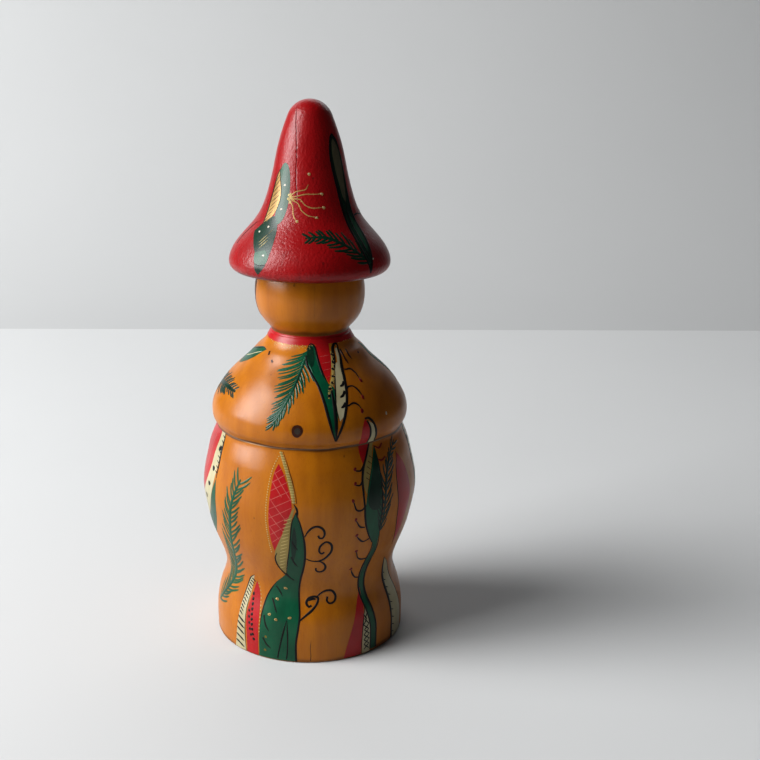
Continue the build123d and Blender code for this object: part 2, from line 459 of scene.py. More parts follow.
def turned_piece(name, skin, segments, finishes, flaws, skin_top=math.inf):
    """A lathe mesh over a skin's section, which replaces the CAD node. finishes is (outside, inside).

    What stands above skin_top is fitted joinery, which stays bare and exactly round."""
    ring = skin.section
    radius_limit = skin.radius(ring[:, 1])
    at_limit = np.abs(ring[:, 0] - radius_limit) < ON_SKIN
    outside = at_limit & (ring[:, 0] > AXIS_ZONE) & (ring[:, 1] < skin_top)
    degrees = np.arange(segments) * 360.0 / segments
    vertices, grime_and_shade, starts = [], [], []
    for (radius, height), on_skin in zip(ring, outside):
        starts.append(len(vertices))
        if radius < 1e-6:
            vertices.append((0.0, 0.0, height * MM))
            grime_and_shade.append(0.0)
            continue
        r, dark = np.full(segments, radius), np.zeros(segments)
        if on_skin:
            r = r + unevenness(degrees + BACK_LINE, height) * min(1.0, radius / CALM_RADIUS)
        for flaw in flaws:
            if on_skin or flaw.reaches_in:
                near = flaw.closeness(wrap(degrees), height, radius)
                r = r - flaw.depth * near
                dark = np.maximum(dark, flaw.darkness * near)
        a = np.radians(degrees + BACK_LINE)
        vertices.extend(zip(np.sin(a) * r * MM, -np.cos(a) * r * MM, np.full(segments, height * MM)))
        grime_and_shade.extend(dark)
    faces, inside = [], []
    pairs = list(zip(range(len(ring)), range(1, len(ring))))
    if skin.is_loop:
        pairs.append((len(ring) - 1, 0))
    for low, high in pairs:
        pole_low, pole_high = ring[low, 0] < 1e-6, ring[high, 0] < 1e-6
        if pole_low and pole_high:
            continue
        is_inside = not (outside[low] and outside[high])
        for k in range(segments):
            m = (k + 1) % segments
            if pole_low:
                face = (starts[low], starts[high] + m, starts[high] + k)
            elif pole_high:
                face = (starts[low] + k, starts[low] + m, starts[high])
            else:
                face = (starts[low] + k, starts[low] + m, starts[high] + m, starts[high] + k)
            faces.append(face)
            inside.append(is_inside)
    mesh = bpy.data.meshes.new(name)
    mesh.from_pydata(vertices, [], faces)
    for finish in finishes:
        mesh.materials.append(MATERIALS[finish])
    mesh.polygons.foreach_set("material_index", np.array(inside, np.int32) * (len(finishes) - 1))
    mesh.attributes.new("grime_and_shade", "FLOAT", "POINT").data.foreach_set("value", np.array(grime_and_shade, np.float32))
    facing_out(mesh)
    mesh.shade_smooth()
    mesh.set_sharp_from_angle(angle=math.radians(32))
    piece = bpy.data.objects.new(name, mesh)
    bpy.context.scene.collection.objects.link(piece)
    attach(piece, skin.body)
    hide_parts(skin.node)


def facing_out(mesh):
    """Every face of a closed mesh turned outwards."""
    work = bmesh.new()
    work.from_mesh(mesh)
    bmesh.ops.recalc_face_normals(work, faces=work.faces)
    work.to_mesh(mesh)
    work.free()


# ---------------------------------------------------------------------------------------------------------
# Paint
# ---------------------------------------------------------------------------------------------------------


class Brush:
    """Paint films on one skin. What it draws is collected by paint, and laid() makes one piece of each paint.

    Degrees count from self.centre, and leftwards where self.side is -1. The whole drawing is turned by at."""

    def __init__(self, name, skin, at=0.0):
        self.name, self.skin, self.at = name, skin, at
        self.centre, self.side = 0.0, 1
        self.films = {}

    def both_sides(self, centre=0.0):
        """Has what follows drawn twice: right of centre, and then mirrored to the left of it."""
        self.centre = centre
        for self.side in (1, -1):
            yield self.side
        self.side = 1

    def across(self, degrees):
        return self.centre + self.side * degrees

    def film(self, paint):
        return self.films.setdefault(paint, {"vertices": [], "faces": []})

    def path(self, points, step=0.7):
        """A smooth line through (degrees, mm) points, sampled evenly in true distance."""
        flat = self.flatten(points)
        return self.unflatten(catmull_rom(flat, step))

    def flatten(self, points):
        pts = np.asarray(points, float)
        self.scale = math.radians(1) * float(np.mean(self.skin.radius(pts[:, 1])))
        return np.stack([pts[:, 0] * self.scale, self.skin.along(pts[:, 1])], -1)

    def unflatten(self, flat):
        return np.stack([flat[:, 0] / self.scale, self.skin.height_at(flat[:, 1])], -1)

    def stroke(self, paint, points, width=0.5, taper=(0.35, 0.25), lift=FINE_LINES, step=0.6):
        """One brush stroke. width is its full width in mm, and taper the share of it at its two ends."""
        points = [(self.across(degrees), height) for degrees, height in points]
        line = self.path(points, step) if len(points) > 2 else self.path(points, 1.2)
        count = len(line)
        share = np.linspace(0, 1, count)
        swell = np.interp(share, [0, 0.25, 0.75, 1], [taper[0], 1, 1, taper[1]])
        swell = swell * (1 + 0.1 * np.sin(share * 9 + points[0][0]))
        centre = self.skin.place(line[:, 0] + self.at, line[:, 1], lift)
        low = self.skin.place(line[:, 0] + self.at, line[:, 1], PAINT_FOOT)
        outward = centre - low
        outward /= np.linalg.norm(outward, axis=1)[:, None]
        tangent = np.gradient(centre, axis=0)
        sideways = np.cross(outward, tangent)
        sideways /= np.maximum(np.linalg.norm(sideways, axis=1), 1e-12)[:, None]
        half = (width / 2 * MM * swell)[:, None]
        rim = centre - outward * (0.3 * lift * MM)
        rings = np.stack([low - sideways * half, rim - sideways * half * 0.8, centre,
                          rim + sideways * half * 0.8, low + sideways * half], 1)
        film = self.film(paint)
        first = len(film["vertices"])
        film["vertices"].extend(rings.reshape(-1, 3).tolist())
        for i in range(count - 1):
            a, b = first + 5 * i, first + 5 * (i + 1)
            film["faces"].extend((a + j, a + (j + 1) % 5, b + (j + 1) % 5, b + j) for j in range(5))
        last = first + 5 * (count - 1)
        film["faces"].append(tuple(first + j for j in range(4, -1, -1)))
        film["faces"].append(tuple(last + j for j in range(5)))

    def dot(self, paint, degrees, height, size=0.9, tall=1.0, lift=FINE_LINES):
        """One touch of the brush: a small domed spot, size mm wide."""
        degrees = self.across(degrees)
        sides = 10
        turn = np.arange(sides) * 2 * math.pi / sides
        wobble = 1 + 0.12 * np.sin(2 * turn + degrees) + 0.08 * np.sin(3 * turn + height)
        ring = np.stack([np.cos(turn) * wobble, np.sin(turn) * wobble * tall], -1) * size / 2
        scale = math.radians(1) * float(self.skin.radius(height))
        along = float(self.skin.along(height))

        def level(share, rise):
            spots = ring * share
            return self.skin.place(degrees + self.at + spots[:, 0] / scale,
                                   self.skin.height_at(along + spots[:, 1]), rise)
        film = self.film(paint)
        first = len(film["vertices"])
        for share, rise in ((1.0, PAINT_FOOT), (0.85, lift * 0.7)):
            film["vertices"].extend(level(share, rise).tolist())
        film["vertices"].append(self.skin.place(degrees + self.at, height, lift).tolist())
        film["faces"].append(tuple(first + j for j in range(sides - 1, -1, -1)))
        for j in range(sides):
            k = (j + 1) % sides
            film["faces"].append((first + j, first + k, first + sides + k, first + sides + j))
            film["faces"].append((first + sides + j, first + sides + k, first + 2 * sides))

    def fill(self, paint, *sides, lift=GROUND_COAT, grid=1.1):
        """A painted area. Each side is a run of points, smooth within itself, up to the start of the next."""
        sides = [[(self.across(degrees), height) for degrees, height in side] for side in sides]
        if len(sides) > 1:
            sides = [side + after[:1] for side, after in zip(sides, sides[1:] + sides[:1])]
        points = [p for side in sides for p in side]
        self.flatten(points)
        scale = self.scale
        border = []
        for side in sides:
            pts = np.asarray(side, float)
            flat = np.stack([pts[:, 0] * scale, self.skin.along(pts[:, 1])], -1)
            border.extend(catmull_rom(flat, 0.5, closed=len(sides) == 1)[:None if len(sides) == 1 else -1])
        border = np.array(border)
        low, high = border.min(0), border.max(0)
        xs, ys = np.arange(low[0] + grid / 2, high[0], grid), np.arange(low[1] + grid / 2, high[1], grid)
        mesh_points = np.array([(x, y) for x in xs for y in ys]).reshape(-1, 2)
        inner = [p for p in mesh_points if inside(p, border) and
                 np.min(np.hypot(*(border - p).T)) > grid * 0.4]
        flat = [Vector(p) for p in np.vstack([border, np.array(inner).reshape(-1, 2)])]
        loop = list(range(len(border)))
        found = delaunay_2d_cdt(flat, [], [loop], 1, 1e-5)
        spots = np.array([tuple(v) for v in found[0]])
        faces = [f for f in found[2] if len(f) == 3]
        degrees, heights = spots[:, 0] / scale + self.at, self.skin.height_at(spots[:, 1])
        film = self.film(paint)
        top = len(film["vertices"])
        bottom = top + len(spots)
        film["vertices"].extend(self.skin.place(degrees, heights, lift).tolist())
        film["vertices"].extend(self.skin.place(degrees, heights, PAINT_FOOT).tolist())
        directed = set()
        for a, b, c in faces:
            film["faces"].append((top + a, top + b, top + c))
            film["faces"].append((bottom + c, bottom + b, bottom + a))
            directed.update([(a, b), (b, c), (c, a)])
        for a, b in directed:
            if (b, a) not in directed:
                film["faces"].append((top + b, top + a, bottom + a, bottom + b))

    def laid(self):
        """Makes the pieces, one for each paint."""
        for paint, film in self.films.items():
            name = f"{self.name}_{paint}"
            mesh = bpy.data.meshes.new(name)
            mesh.from_pydata(film["vertices"], [], film["faces"])
            mesh.materials.append(MATERIALS[paint])
            facing_out(mesh)
            mesh.shade_smooth()
            mesh.set_sharp_from_angle(angle=math.radians(50))
            piece = bpy.data.objects.new(name, mesh)
            bpy.context.scene.collection.objects.link(piece)
            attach(piece, self.skin.body)


def inside(point, border):
    """Whether a flat point lies inside a closed border."""
    x, y = point
    xs, ys = border[:, 0], border[:, 1]
    nx, ny = np.roll(xs, -1), np.roll(ys, -1)
    crosses = (ys > y) != (ny > y)
    with np.errstate(divide="ignore", invalid="ignore"):
        at = (nx - xs) * (y - ys) / (ny - ys) + xs
    return int(np.count_nonzero(crosses & (x < at))) % 2 == 1


def sprig(brush, paint, seed, stem, length, angle, spacing, width, stem_width, lift=SECOND_COAT,
        grow=(0.55, 1.0), tip=0.25):
    """A pine sprig: a stem from its cut end to its tip, and needles that lean towards the tip.

    angle is how far the needles lean, in degrees; grow scales them at both ends and in the middle."""
    rng = random.Random(seed)
    brush.stroke(paint, stem, stem_width, (0.9, 0.4), lift)
    line = brush.flatten(stem)
    flat = catmull_rom(line, spacing)
    scale = brush.scale
    count = len(flat)
    for i in range(count - 1):
        direction = math.atan2(*(flat[i + 1] - flat[i])[::-1])
        share = i / max(1, count - 1)
        size = length * (grow[0] + (grow[1] - grow[0])
            * math.sin(math.pi * min(1, share * 1.25 + 0.1)) ** 0.7)
        for side in (1, -1):
            lean = direction + side * math.radians(angle + rng.uniform(-6, 6))
            reach = size * rng.uniform(0.85, 1.12)
            start = flat[i] + np.array([rng.uniform(-0.2, 0.2), rng.uniform(-0.2, 0.2)])
            middle = start + reach * 0.55 * np.array([math.cos(lean), math.sin(lean)])
            bend = lean - side * 0.18
            end = middle + reach * 0.45 * np.array([math.cos(bend), math.sin(bend)])
            points = [(p[0] / scale, float(brush.skin.height_at(p[1]))) for p in (start, middle, end)]
            brush.stroke(paint, points, width, (0.9, tip), lift, 1.3)


def along_points(brush, points, spacing):
    """Evenly spaced places on a smooth line, as (degrees, mm)."""
    flat = catmull_rom(brush.flatten(points), 0.25)
    lengths = np.concatenate([[0], np.cumsum(np.hypot(*np.diff(flat, axis=0).T))])
    wanted = np.arange(spacing / 2, lengths[-1], spacing)
    spots = np.stack([np.interp(wanted, lengths, flat[:, 0]), np.interp(wanted, lengths, flat[:, 1])], -1)
    return brush.unflatten(spots)


def dotted(brush, paint, points, spacing, size, lift=FINE_LINES):
    """A row of dots along a line."""
    for degrees, height in along_points(brush, points, spacing):
        brush.dot(paint, degrees, height, size, 1.2, lift)


def ticks(brush, paint, points, spacing, reach, width):
    """Short strokes that start on a line and end reach = (degrees, mm) away."""
    for degrees, height in along_points(brush, points, spacing):
        brush.stroke(paint, [(degrees, height), (degrees + reach[0], height + reach[1])], width, (0.9, 0.4))


# ---------------------------------------------------------------------------------------------------------
# Ornament of the lower body
# ---------------------------------------------------------------------------------------------------------

FOOT = 0.6  # where paint stops above the foot's rounded edge
RIM = 82.6  # where paint on the lower body stops below the groove


def netted_leaf(brush):
    """Red leaf with a pale net, a dotted gold border, and a khaki leaf hooked under it."""
    right = [(-17.5, 77.8), (-14.5, 75), (-11.5, 70), (-9.6, 65.5), (-9.4, 62), (-11.5, 58), (-14.5, 52.5),
        (-17, 48.5)]
    left = [(-19.6, 45), (-21, 50), (-21.4, 56), (-21.2, 63), (-20.6, 70), (-19.3, 75)]
    brush.fill("red", right, left)
    for start, end in (((-19.6, 74.2), (-15.4, 76.2)), ((-20.5, 71.2), (-13.2, 74.4)),
            ((-20.9, 68.3), (-11.7, 72)), ((-21.1, 65), (-10.3, 69)), ((-21.3, 61.8), (-9.5, 66)),
            ((-21.4, 58.4), (-9.6, 63)), ((-21.3, 55), (-10.6, 59.6)), ((-21, 51.8), (-12.6, 55.8)),
            ((-20.4, 48.6), (-15, 51.6)), ((-20.6, 72), (-14.6, 66.6)), ((-19.4, 75), (-9.5, 65.4)),
            ((-21.3, 66), (-11.4, 57.6)), ((-21.4, 60.6), (-14, 53.8)), ((-21.1, 55.4), (-16.4, 50.2))):
        brush.stroke("rose", [start, end], 0.27, (0.8, 0.8), SECOND_COAT)
    outer_left = [(-21.4, 44), (-22.3, 50), (-22.8, 57), (-22.6, 65), (-21.6, 72.5), (-19.8, 77.5),
        (-17.6, 80.6)]
    dotted(brush, "straw", outer_left, 0.95, 0.45)
    band = [(-17.2, 81.8), (-14.2, 78), (-11.2, 73), (-9.2, 68.3), (-8.2, 64.6)]
    brush.stroke("khaki", band, 1.5, (0.5, 0.7), GROUND_COAT)
    for shift in (-1.1, 0, 1.1):
        dotted(brush, "straw", [(d + shift * 0.62, h) for d, h in band], 0.95, 0.42)
    brush.stroke("brown", [(d + 1.5, h) for d, h in band], 0.25, (0.5, 0.8), SECOND_COAT)
    khaki_right = [(-7.6, 63.5), (-9.6, 57), (-10.3, 51), (-11.5, 45), (-13, 39)]
    khaki_left = [(-14.6, 34.8), (-17.5, 37), (-19.4, 40.5), (-19.6, 43.8), (-17.5, 47.8), (-14.7, 52),
        (-11.7, 57.6), (-9.4, 61.8)]
    brush.fill("khaki", khaki_right, khaki_left)
    for height in np.arange(37.5, 60, 1.5):
        centre = -16.5 + (height - 38) * 0.26
        brush.stroke("straw", [(centre - 1.8, height - 0.4), (centre + 2.0, height + 0.7)], 0.42, (0.7, 0.4),
            SECOND_COAT)
    brush.stroke("black", [(-18.3, 44.2), (-19.8, 42), (-19.4, 38.8), (-16.8, 35.8), (-14.2, 34),
        (-10.5, 31.8)], 0.7)
    brush.stroke("black", [(-8.3, 64.4), (-6.9, 63), (-6.3, 61), (-6.8, 59.6)], 0.8)


def great_leaf(brush):
    """The tall green leaf that stands on the foot, with its black outline, veins and gold touches."""
    right = [(-7.2, 61.5), (-5, 57), (-3.5, 52), (-2.8, 47), (-3, 42), (-4.2, 37), (-6.2, 32), (-7.2, 27),
        (-6.8, 22), (-6.4, 18), (-7.2, 13), (-8.3, 8), (-8.2, FOOT)]
    foot = [(-8.2, FOOT), (-20, FOOT)]
    left = [(-31.6, FOOT), (-31.6, 8), (-31.2, 14), (-30.6, 19), (-29, 23.5), (-26, 27), (-21.5, 30.6),
        (-17, 33.2), (-14.4, 35.2), (-13, 40), (-11.4, 46), (-10.3, 52), (-9.4, 57.5)]
    brush.fill("green", right[:-1], foot, left)
    brush.stroke("black", right, 0.85, (0.6, 0.9), FINE_LINES)
    brush.stroke("black", [(-7.2, 61.5), (-9.2, 57.5), (-10.2, 52), (-11.3, 46), (-13, 40), (-14.6, 35)], 0.5)
    brush.stroke("black", [(-21.5, 30.6), (-26, 27), (-29, 23.5), (-30.6, 19), (-31.4, 12)], 0.6)
    shade = [(-8, 56), (-9.4, 52), (-10.2, 46), (-9.5, 41), (-8, 44), (-7, 50)]
    brush.fill("dark_green", shade, lift=SECOND_COAT)
    brush.stroke("black", [(-14.2, 16.5), (-16.6, 10), (-18.6, 4), (-19.4, 1.2)], 0.7, (0.3, 0.9))
    brush.stroke("black", [(-14, 16.5), (-13.2, 10), (-13.4, 4), (-14, 1.2)], 0.6, (0.3, 0.9))
    for vein in ([(-22.5, 28.5), (-20, 26.5), (-18, 24.6)], [(-25, 23.5), (-23, 21), (-21, 18.6)],
            [(-29.2, 17), (-27.5, 13.6), (-25, 11.4)], [(-29, 8.5), (-26.5, 6), (-23.5, 4.6)],
            [(-14.5, 35), (-12.5, 33), (-9.8, 32)], [(-9.6, 50), (-8, 47.5), (-6.5, 46.2)],
            [(-10.5, 43), (-8.8, 40), (-7, 38.6)]):
        brush.stroke("black", vein, 0.75, (0.9, 0.3))
    for degrees, height in ((-21.5, 23.4), (-25.6, 17.6), (-21, 16.2), (-12.4, 17.4), (-16, 28)):
        brush.dot("gold", degrees, height, 1.6, 0.65)
        brush.dot("dark_green", degrees, height, 0.7, 0.5, FINE_LINES + 0.02)
    for degrees, height in ((-27, 9), (-27.5, 3.5)):
        brush.dot("olive", degrees, height, 1.3, 0.8)


def tendrils(brush):
    """The black curls to the right of the great leaf."""
    brush.stroke("black", [(-2.8, 51.8), (-1.2, 54), (1.2, 55.7), (4, 56.1), (6.6, 54.9), (7.5, 52.9),
        (6.6, 51.3), (4.9, 51.3), (4.2, 52.4)], 0.95, (0.5, 0.9))
    brush.stroke("black", [(-2.8, 42.6), (0.8, 41.4), (5, 41.2), (9, 42.8), (11.6, 45.6), (11.2, 48.3),
        (8.6, 49.5), (5.7, 48.1), (4.8, 45.8), (6.2, 44.5), (7.7, 45.2)], 0.95, (0.5, 0.9))
    brush.stroke("black", [(2.8, 41.4), (6.6, 40.6), (8.9, 38.6), (8.2, 36.7), (5.6, 36), (3.5, 36.8),
        (3.4, 38)], 0.9, (0.4, 0.9))
    brush.stroke("black", [(-6.2, 16.6), (-3, 18.3), (1, 20.2), (4.2, 22.4), (5.2, 24.6), (2.4, 25.2),
        (-1, 24.5), (-2.4, 22.9), (-0.8, 21.5), (0.9, 22)], 1.0, (0.6, 0.9))
    brush.stroke("black", [(3.6, 24.6), (7.2, 26.5), (11, 27.3), (14.6, 26.8), (16.6, 24.9), (15.7, 22.9),
        (12.6, 22.3), (10.8, 23.4), (11.4, 24.9)], 0.95, (0.6, 0.9))
    brush.stroke("black", [(-1.5, 23.6), (1, 24.3), (3.6, 24.2)], 1.1, (0.3, 0.3))


def foot_strips(brush):
    """The red and the cream blade left of the great leaf."""
    red_right = [(-37, 28.6), (-34.4, 24), (-32.8, 18), (-32.2, 12)]
    red_foot = [(-32.2, FOOT), (-36, FOOT)]
    red_left = [(-40.6, FOOT), (-41, 8), (-42, 15), (-41, 21.5), (-39, 26)]
    brush.fill("red", red_right, red_foot, red_left)
    dotted(brush, "gold", [(-36, 28.4), (-33.6, 23.5), (-32, 17.5), (-31.6, 10)], 1.4, 0.55)
    dotted(brush, "black", [(-39.8, 24), (-38.6, 19), (-37.6, 14), (-36.4, 9), (-34.8, 5)], 1.9, 1.3)
    dotted(brush, "black", [(-40.8, 18), (-38.8, 11), (-36.6, 6)], 2.3, 1.1)
    cream_right = [(-38.8, 30.6), (-41.4, 25), (-42.6, 18), (-42.2, 10)]
    cream_foot = [(-41.6, FOOT), (-46, FOOT)]
    cream_left = [(-51, FOOT), (-49.8, 6), (-48.8, 12), (-48, 18), (-46, 24.4), (-42.4, 29)]
    brush.fill("cream", cream_right, cream_foot, cream_left)
    brush.stroke("black", [(-38.6, 30.9), (-42.6, 29), (-46.2, 24.4), (-48, 18.5)], 0.55)
    ticks(brush, "black", [(-40.5, 29.6), (-44.5, 25.6), (-47.2, 19), (-48.2, 14.5)], 1.35, (2.6, -1.1), 0.95)
    for height in (3, 5.6, 8.4, 10.8, 13):
        brush.stroke("black", [(-50.6 + height * 0.12, height + 0.5), (-47, height - 0.2),
            (-43, height - 1.4)], 0.95)
    brush.stroke("black", [(-42.4, 24), (-42.9, 17), (-42.4, 9), (-41.8, FOOT)], 0.35)


def cupped_bloom(brush, centre):
    """A symmetrical bloom that hangs from the seam: red heart, cream rim with black spots, green cup."""
    for _ in brush.both_sides(centre):
        brush.fill("red", [(0, 53), (8, 55), (17, 60.5), (22, 67), (24.5, 75)], [(25.2, RIM), (12, RIM)],
            [(0, RIM), (0, 66)])
        brush.fill("cream", [(0, 45.5), (10, 46.6), (19, 50.5), (25.5, 55.8), (29, 62), (31, 70),
            (31.8, 77)], [(30, RIM), (27.5, RIM)], [(25.2, RIM), (24.5, 75), (22, 67), (17, 60.5), (8, 55)],
            [(0, 53), (0, 49)])
        brush.fill("green", [(0, 38), (12, 39.2), (22, 43), (29, 48.5), (32.4, 55), (33.2, 61)],
            [(32, 66.4), (29.4, 62), (25.8, 55.6), (19.2, 50.3), (10, 46.4)], [(0, 45.3), (0, 41)])
        brush.stroke("dark_green", [(1, 41.5), (12, 42.6), (22, 46.6), (28.5, 52.5)], 1.1, (0.5, 0.3),
            SECOND_COAT)
        for degrees, height in ((29.6, 77), (27, 69.2), (24.4, 63), (19.6, 57.2), (11, 51.6)):
            brush.dot("black", degrees, height, 2.6, 0.8)
        ticks(brush, "black", [(32, 67.5), (32, 74), (30.4, 82)], 1.9, (-2.6, 0.5), 0.8)
        brush.stroke("black", [(32, 66.6), (32.3, 74), (30.6, RIM)], 0.9)
        brush.stroke("rose", [(8, 60), (14, 66), (17, 74), (18, 81)], 0.5, (0.3, 0.5), SECOND_COAT)
    brush.dot("black", 0, 48.8, 1.9)
    brush.stroke("rose", [(0, 57), (0.4, 68), (0, 81)], 0.5, (0.3, 0.5), SECOND_COAT)


def long_stem(brush):
    """The leaf that hangs over the seam on the right, and the stem that winds down from it to the foot."""
    cream_left = [(37.5, RIM), (34.6, 79.5), (31.6, 76.5), (29.8, 72), (29.6, 68.5)]
    cream_right = [(30.8, 65.6), (32.6, 70), (35.4, 75), (38, 79.4)]
    cream_top = [(40, RIM), (38.8, RIM)]
    brush.fill("khaki", cream_left, cream_right, cream_top)
    ticks(brush, "brown", [(36, 79.5), (32.6, 75), (31, 70)], 2.0, (2.6, -1.4), 0.35)
    brush.fill("red", [(29.2, RIM), (29.5, 79)], [(30.4, 76.4), (32.8, 78.8)], [(36.4, RIM), (33, RIM)])
    brush.fill("green", [(40.4, 81.5), (40.8, 74), (40.6, 67), (40, 60), (39.6, 53), (40.4, 46), (39, 42.5)],
        [(37.2, 43.5), (35.6, 46.6), (32.8, 50), (30.4, 55), (29.4, 60), (31, 65.8), (33.6, 71.2), (37, 77)])
    brush.fill("dark_green", [(39.9, 79.6), (40.4, 72), (39.6, 64), (37.6, 59.5), (33.5, 59.8), (31.2, 62.5),
        (33.2, 68), (36.5, 74.4)], lift=SECOND_COAT)
    brush.stroke("black", [(37, RIM), (33.4, 78.6), (30.6, 75.6), (29, 71.4), (28.8, 67), (29, 62),
        (29.6, 56), (32.2, 50.6), (35.8, 46)], 1.0, (0.9, 0.4))
    brush.stroke("black", [(40.6, 81.6), (41.1, 74), (40.9, 66), (40.2, 58), (39.9, 52), (41, 46)], 0.7)
    stem = [(38.8, 46), (38.7, 42), (37, 37.5), (35.8, 33), (35.6, 28), (36.8, 22.5), (39.4, 17), (41, 11.5),
        (41.1, 6), (41, 1.1)]
    brush.stroke("green", stem, 2.7, (0.8, 1.0), GROUND_COAT)
    brush.stroke("black", [(p[0] - 2.3, p[1]) for p in stem], 0.85, (0.4, 0.9))
    brush.stroke("black", [(p[0] + 2.2, p[1]) for p in stem], 1.0, (0.4, 0.9))
    for hook in ([(30.6, 76), (28.4, 74.4), (25.4, 74.6)], [(29, 71), (27.2, 69.4), (24.8, 69.6)],
            [(29.8, 61.8), (27, 60.4), (24.2, 60.9), (22.8, 63.8)], [(29.6, 53.3), (26.8, 53.9),
            (24.2, 56.6)], [(33.6, 47.9), (29.8, 47.3), (26.9, 48.8), (25.6, 50)], [(36.2, 39), (31.8, 39),
            (28.6, 40.2), (26.8, 43)], [(34, 30.4), (30.2, 30.9), (27.4, 33), (26, 34.8)]):
        brush.stroke("black", hook, 0.75, (0.9, 0.6))
        brush.dot("deep_red", hook[-1][0] - 0.3, hook[-1][1] + 0.6, 1.3, 1.1)
    for hook in ([(41, 81.2), (44, 80.2), (47.4, 81.4)], [(41.2, 76.6), (44, 76), (47, 76.8)]):
        brush.stroke("deep_red", hook, 0.8, (0.6, 0.9))


def right_foot_leaves(brush):
    """The red blade and the netted strip at the foot, left of the winding stem."""
    brush.fill("red", [(34.6, 26), (31.4, 21.5), (27.4, 14.5), (23.6, 8)], [(20.2, FOOT), (26, FOOT)],
        [(31.6, FOOT), (32.4, 7), (33.6, 13), (35.4, 19)])
    brush.fill("cream", [(36.6, 18.6), (34, 12.4), (32.9, 6.6)], [(32.7, FOOT), (35.5, FOOT)],
        [(38.4, FOOT), (38.6, 9), (38, 15)])
    zigzag = [(34, 2), (37.6, 4), (33.8, 6), (37.8, 8), (34.2, 10), (37.8, 12), (35, 14), (37.2, 16)]
    mirrored = [(71.6 - degrees, height) for degrees, height in zigzag]
    for line in (zigzag, mirrored):
        for start, end in zip(line, line[1:]):
            brush.stroke("black", [start, end], 0.6, (0.8, 0.8))
    brush.stroke("black", [(36.2, 18.2), (33.6, 12.6), (32.4, 7), (32.2, FOOT)], 0.45)


def right_edge(brush):
    """What shows at the right of the back: a dark sprig, a red leaf, and a pale leaf with ticks."""
    sprig(brush, "dark_green", 4, [(40.8, 50), (42.2, 60), (45.2, 69), (51, 76.4), (60, 80.6)], 6.8, 34, 2.5,
        0.85, 1.3, tip=0.5)
    brush.fill("red", [(58, 76.5), (54.6, 70), (53.4, 62), (54.6, 52)], [(57.6, 40.5), (62.4, 47), (66, 55),
        (67, 63), (64, 71)])
    brush.stroke("black", [(58, 76.8), (54.3, 70), (53.1, 62), (54.3, 52), (57.5, 40)], 0.45)
    brush.fill("cream", [(55, 34.5), (57.8, 28.5), (59.2, 20), (59.9, 10)], [(60, FOOT), (67, FOOT)],
        [(74, FOOT), (74, 9), (71, 19), (65, 28.5)])
    outline = [(54.6, 34.8), (57.4, 29), (58.8, 20.5), (59.5, 10), (59.6, FOOT)]
    brush.stroke("black", outline, 1.6, (0.5, 0.9))
    ticks(brush, "black", outline[1:], 3.1, (3.4, -1.0), 0.8)
    brush.stroke("black", [(55, 34.6), (65, 28.8), (71.2, 19), (74.2, 9), (74.2, FOOT)], 0.6)


def front_panel(brush):
    """The front of the lower body, round from the back: a tall split leaf between two curled stems."""
    for _ in brush.both_sides():
        brush.fill("green", [(0, 70), (6.5, 60), (8.6, 50), (7.4, 38), (9.5, 25), (14, 14)],
            [(16, FOOT), (8, FOOT)], [(0.8, FOOT), (1.2, 14), (0.7, 36), (0.7, 56)])
        brush.stroke("black", [(0, 70.4), (6.8, 60), (9, 50), (7.8, 38), (9.9, 25), (14.4, 14),
            (16.4, FOOT)], 0.75, (0.6, 0.9))
        for height in range(10, 62, 5):
            brush.stroke("black", [(1.6, height), (4, height + 2), (6, height + 5)], 0.4, (0.8, 0.2))
        for degrees, height in ((4, 13), (8, 8), (4.5, 26), (5, 45), (4, 56)):
            brush.dot("gold", degrees, height, 1.3, 0.8)
        brush.stroke("black", [(10.2, 27), (15, 30), (20, 29.6), (22.6, 26.6), (20.6, 23.8), (17.4, 24.6),
            (17.6, 27)], 0.8, (0.6, 0.9))
        brush.stroke("black", [(9, 47), (13, 51.4), (18, 51.6), (20.6, 48.4), (18.4, 45.4), (15.4, 46.4),
            (15.8, 48.6)], 0.75, (0.6, 0.9))
        brush.fill("red", [(18.5, 17), (22, 12), (24, 6)], [(24.6, FOOT), (21, FOOT)],
            [(17.4, FOOT), (16.4, 7), (16.6, 12.6)])
        dotted(brush, "gold", [(18.9, 18), (22.6, 12.6), (24.8, 6), (25.4, 1.6)], 1.4, 0.55)
    brush.stroke("cream", [(0, 66), (0.2, 45), (-0.2, 24), (0, 1.4)], 0.7, (0.3, 0.9), SECOND_COAT)


def left_bloom(brush):
    cupped_bloom(brush, -92.0)


def right_bloom(brush):
    cupped_bloom(brush, 112.0)


def left_sprig(brush):
    """The sprig left of the great leaf, with a paler glaze under it."""
    stem = [(-76, 13), (-65, 22), (-58, 30), (-52.4, 39), (-49, 47.5), (-46, 56), (-43, 63.6), (-39.6, 70)]
    sprig(brush, "olive", 2, stem, 9.8, 38, 2.3, 1.1, 2.1, lift=GROUND_COAT, grow=(0.65, 0.95), tip=0.6)
    sprig(brush, "green", 2, stem, 10.2, 37, 2.3, 0.75, 1.7, grow=(0.65, 0.95), tip=0.4)


def front_left_sprig(brush):
    stem = [(-34, 6), (-30, 20), (-30, 34), (-33, 48), (-38, 62), (-40, 74)]
    sprig(brush, "green", 8, stem, 5.4, 36, 1.6, 0.6, 1.2)


def right_sprig(brush):
    sprig(brush, "green", 9, [(84, 34), (92, 24), (104, 15), (120, 8)], 5.0, 36, 1.6, 0.6, 1.2)


def foot_check(brush):
    """A hairline drying check that runs up from the foot."""
    brush.stroke("brown", [(0.2, 0.8), (0.5, 3), (0.2, 6), (0.6, 9.4)], 0.28, (1.0, 0.2), 0.02)


# ---------------------------------------------------------------------------------------------------------
# Ornament of the cape
# ---------------------------------------------------------------------------------------------------------


HEM_HEIGHT = 115.5


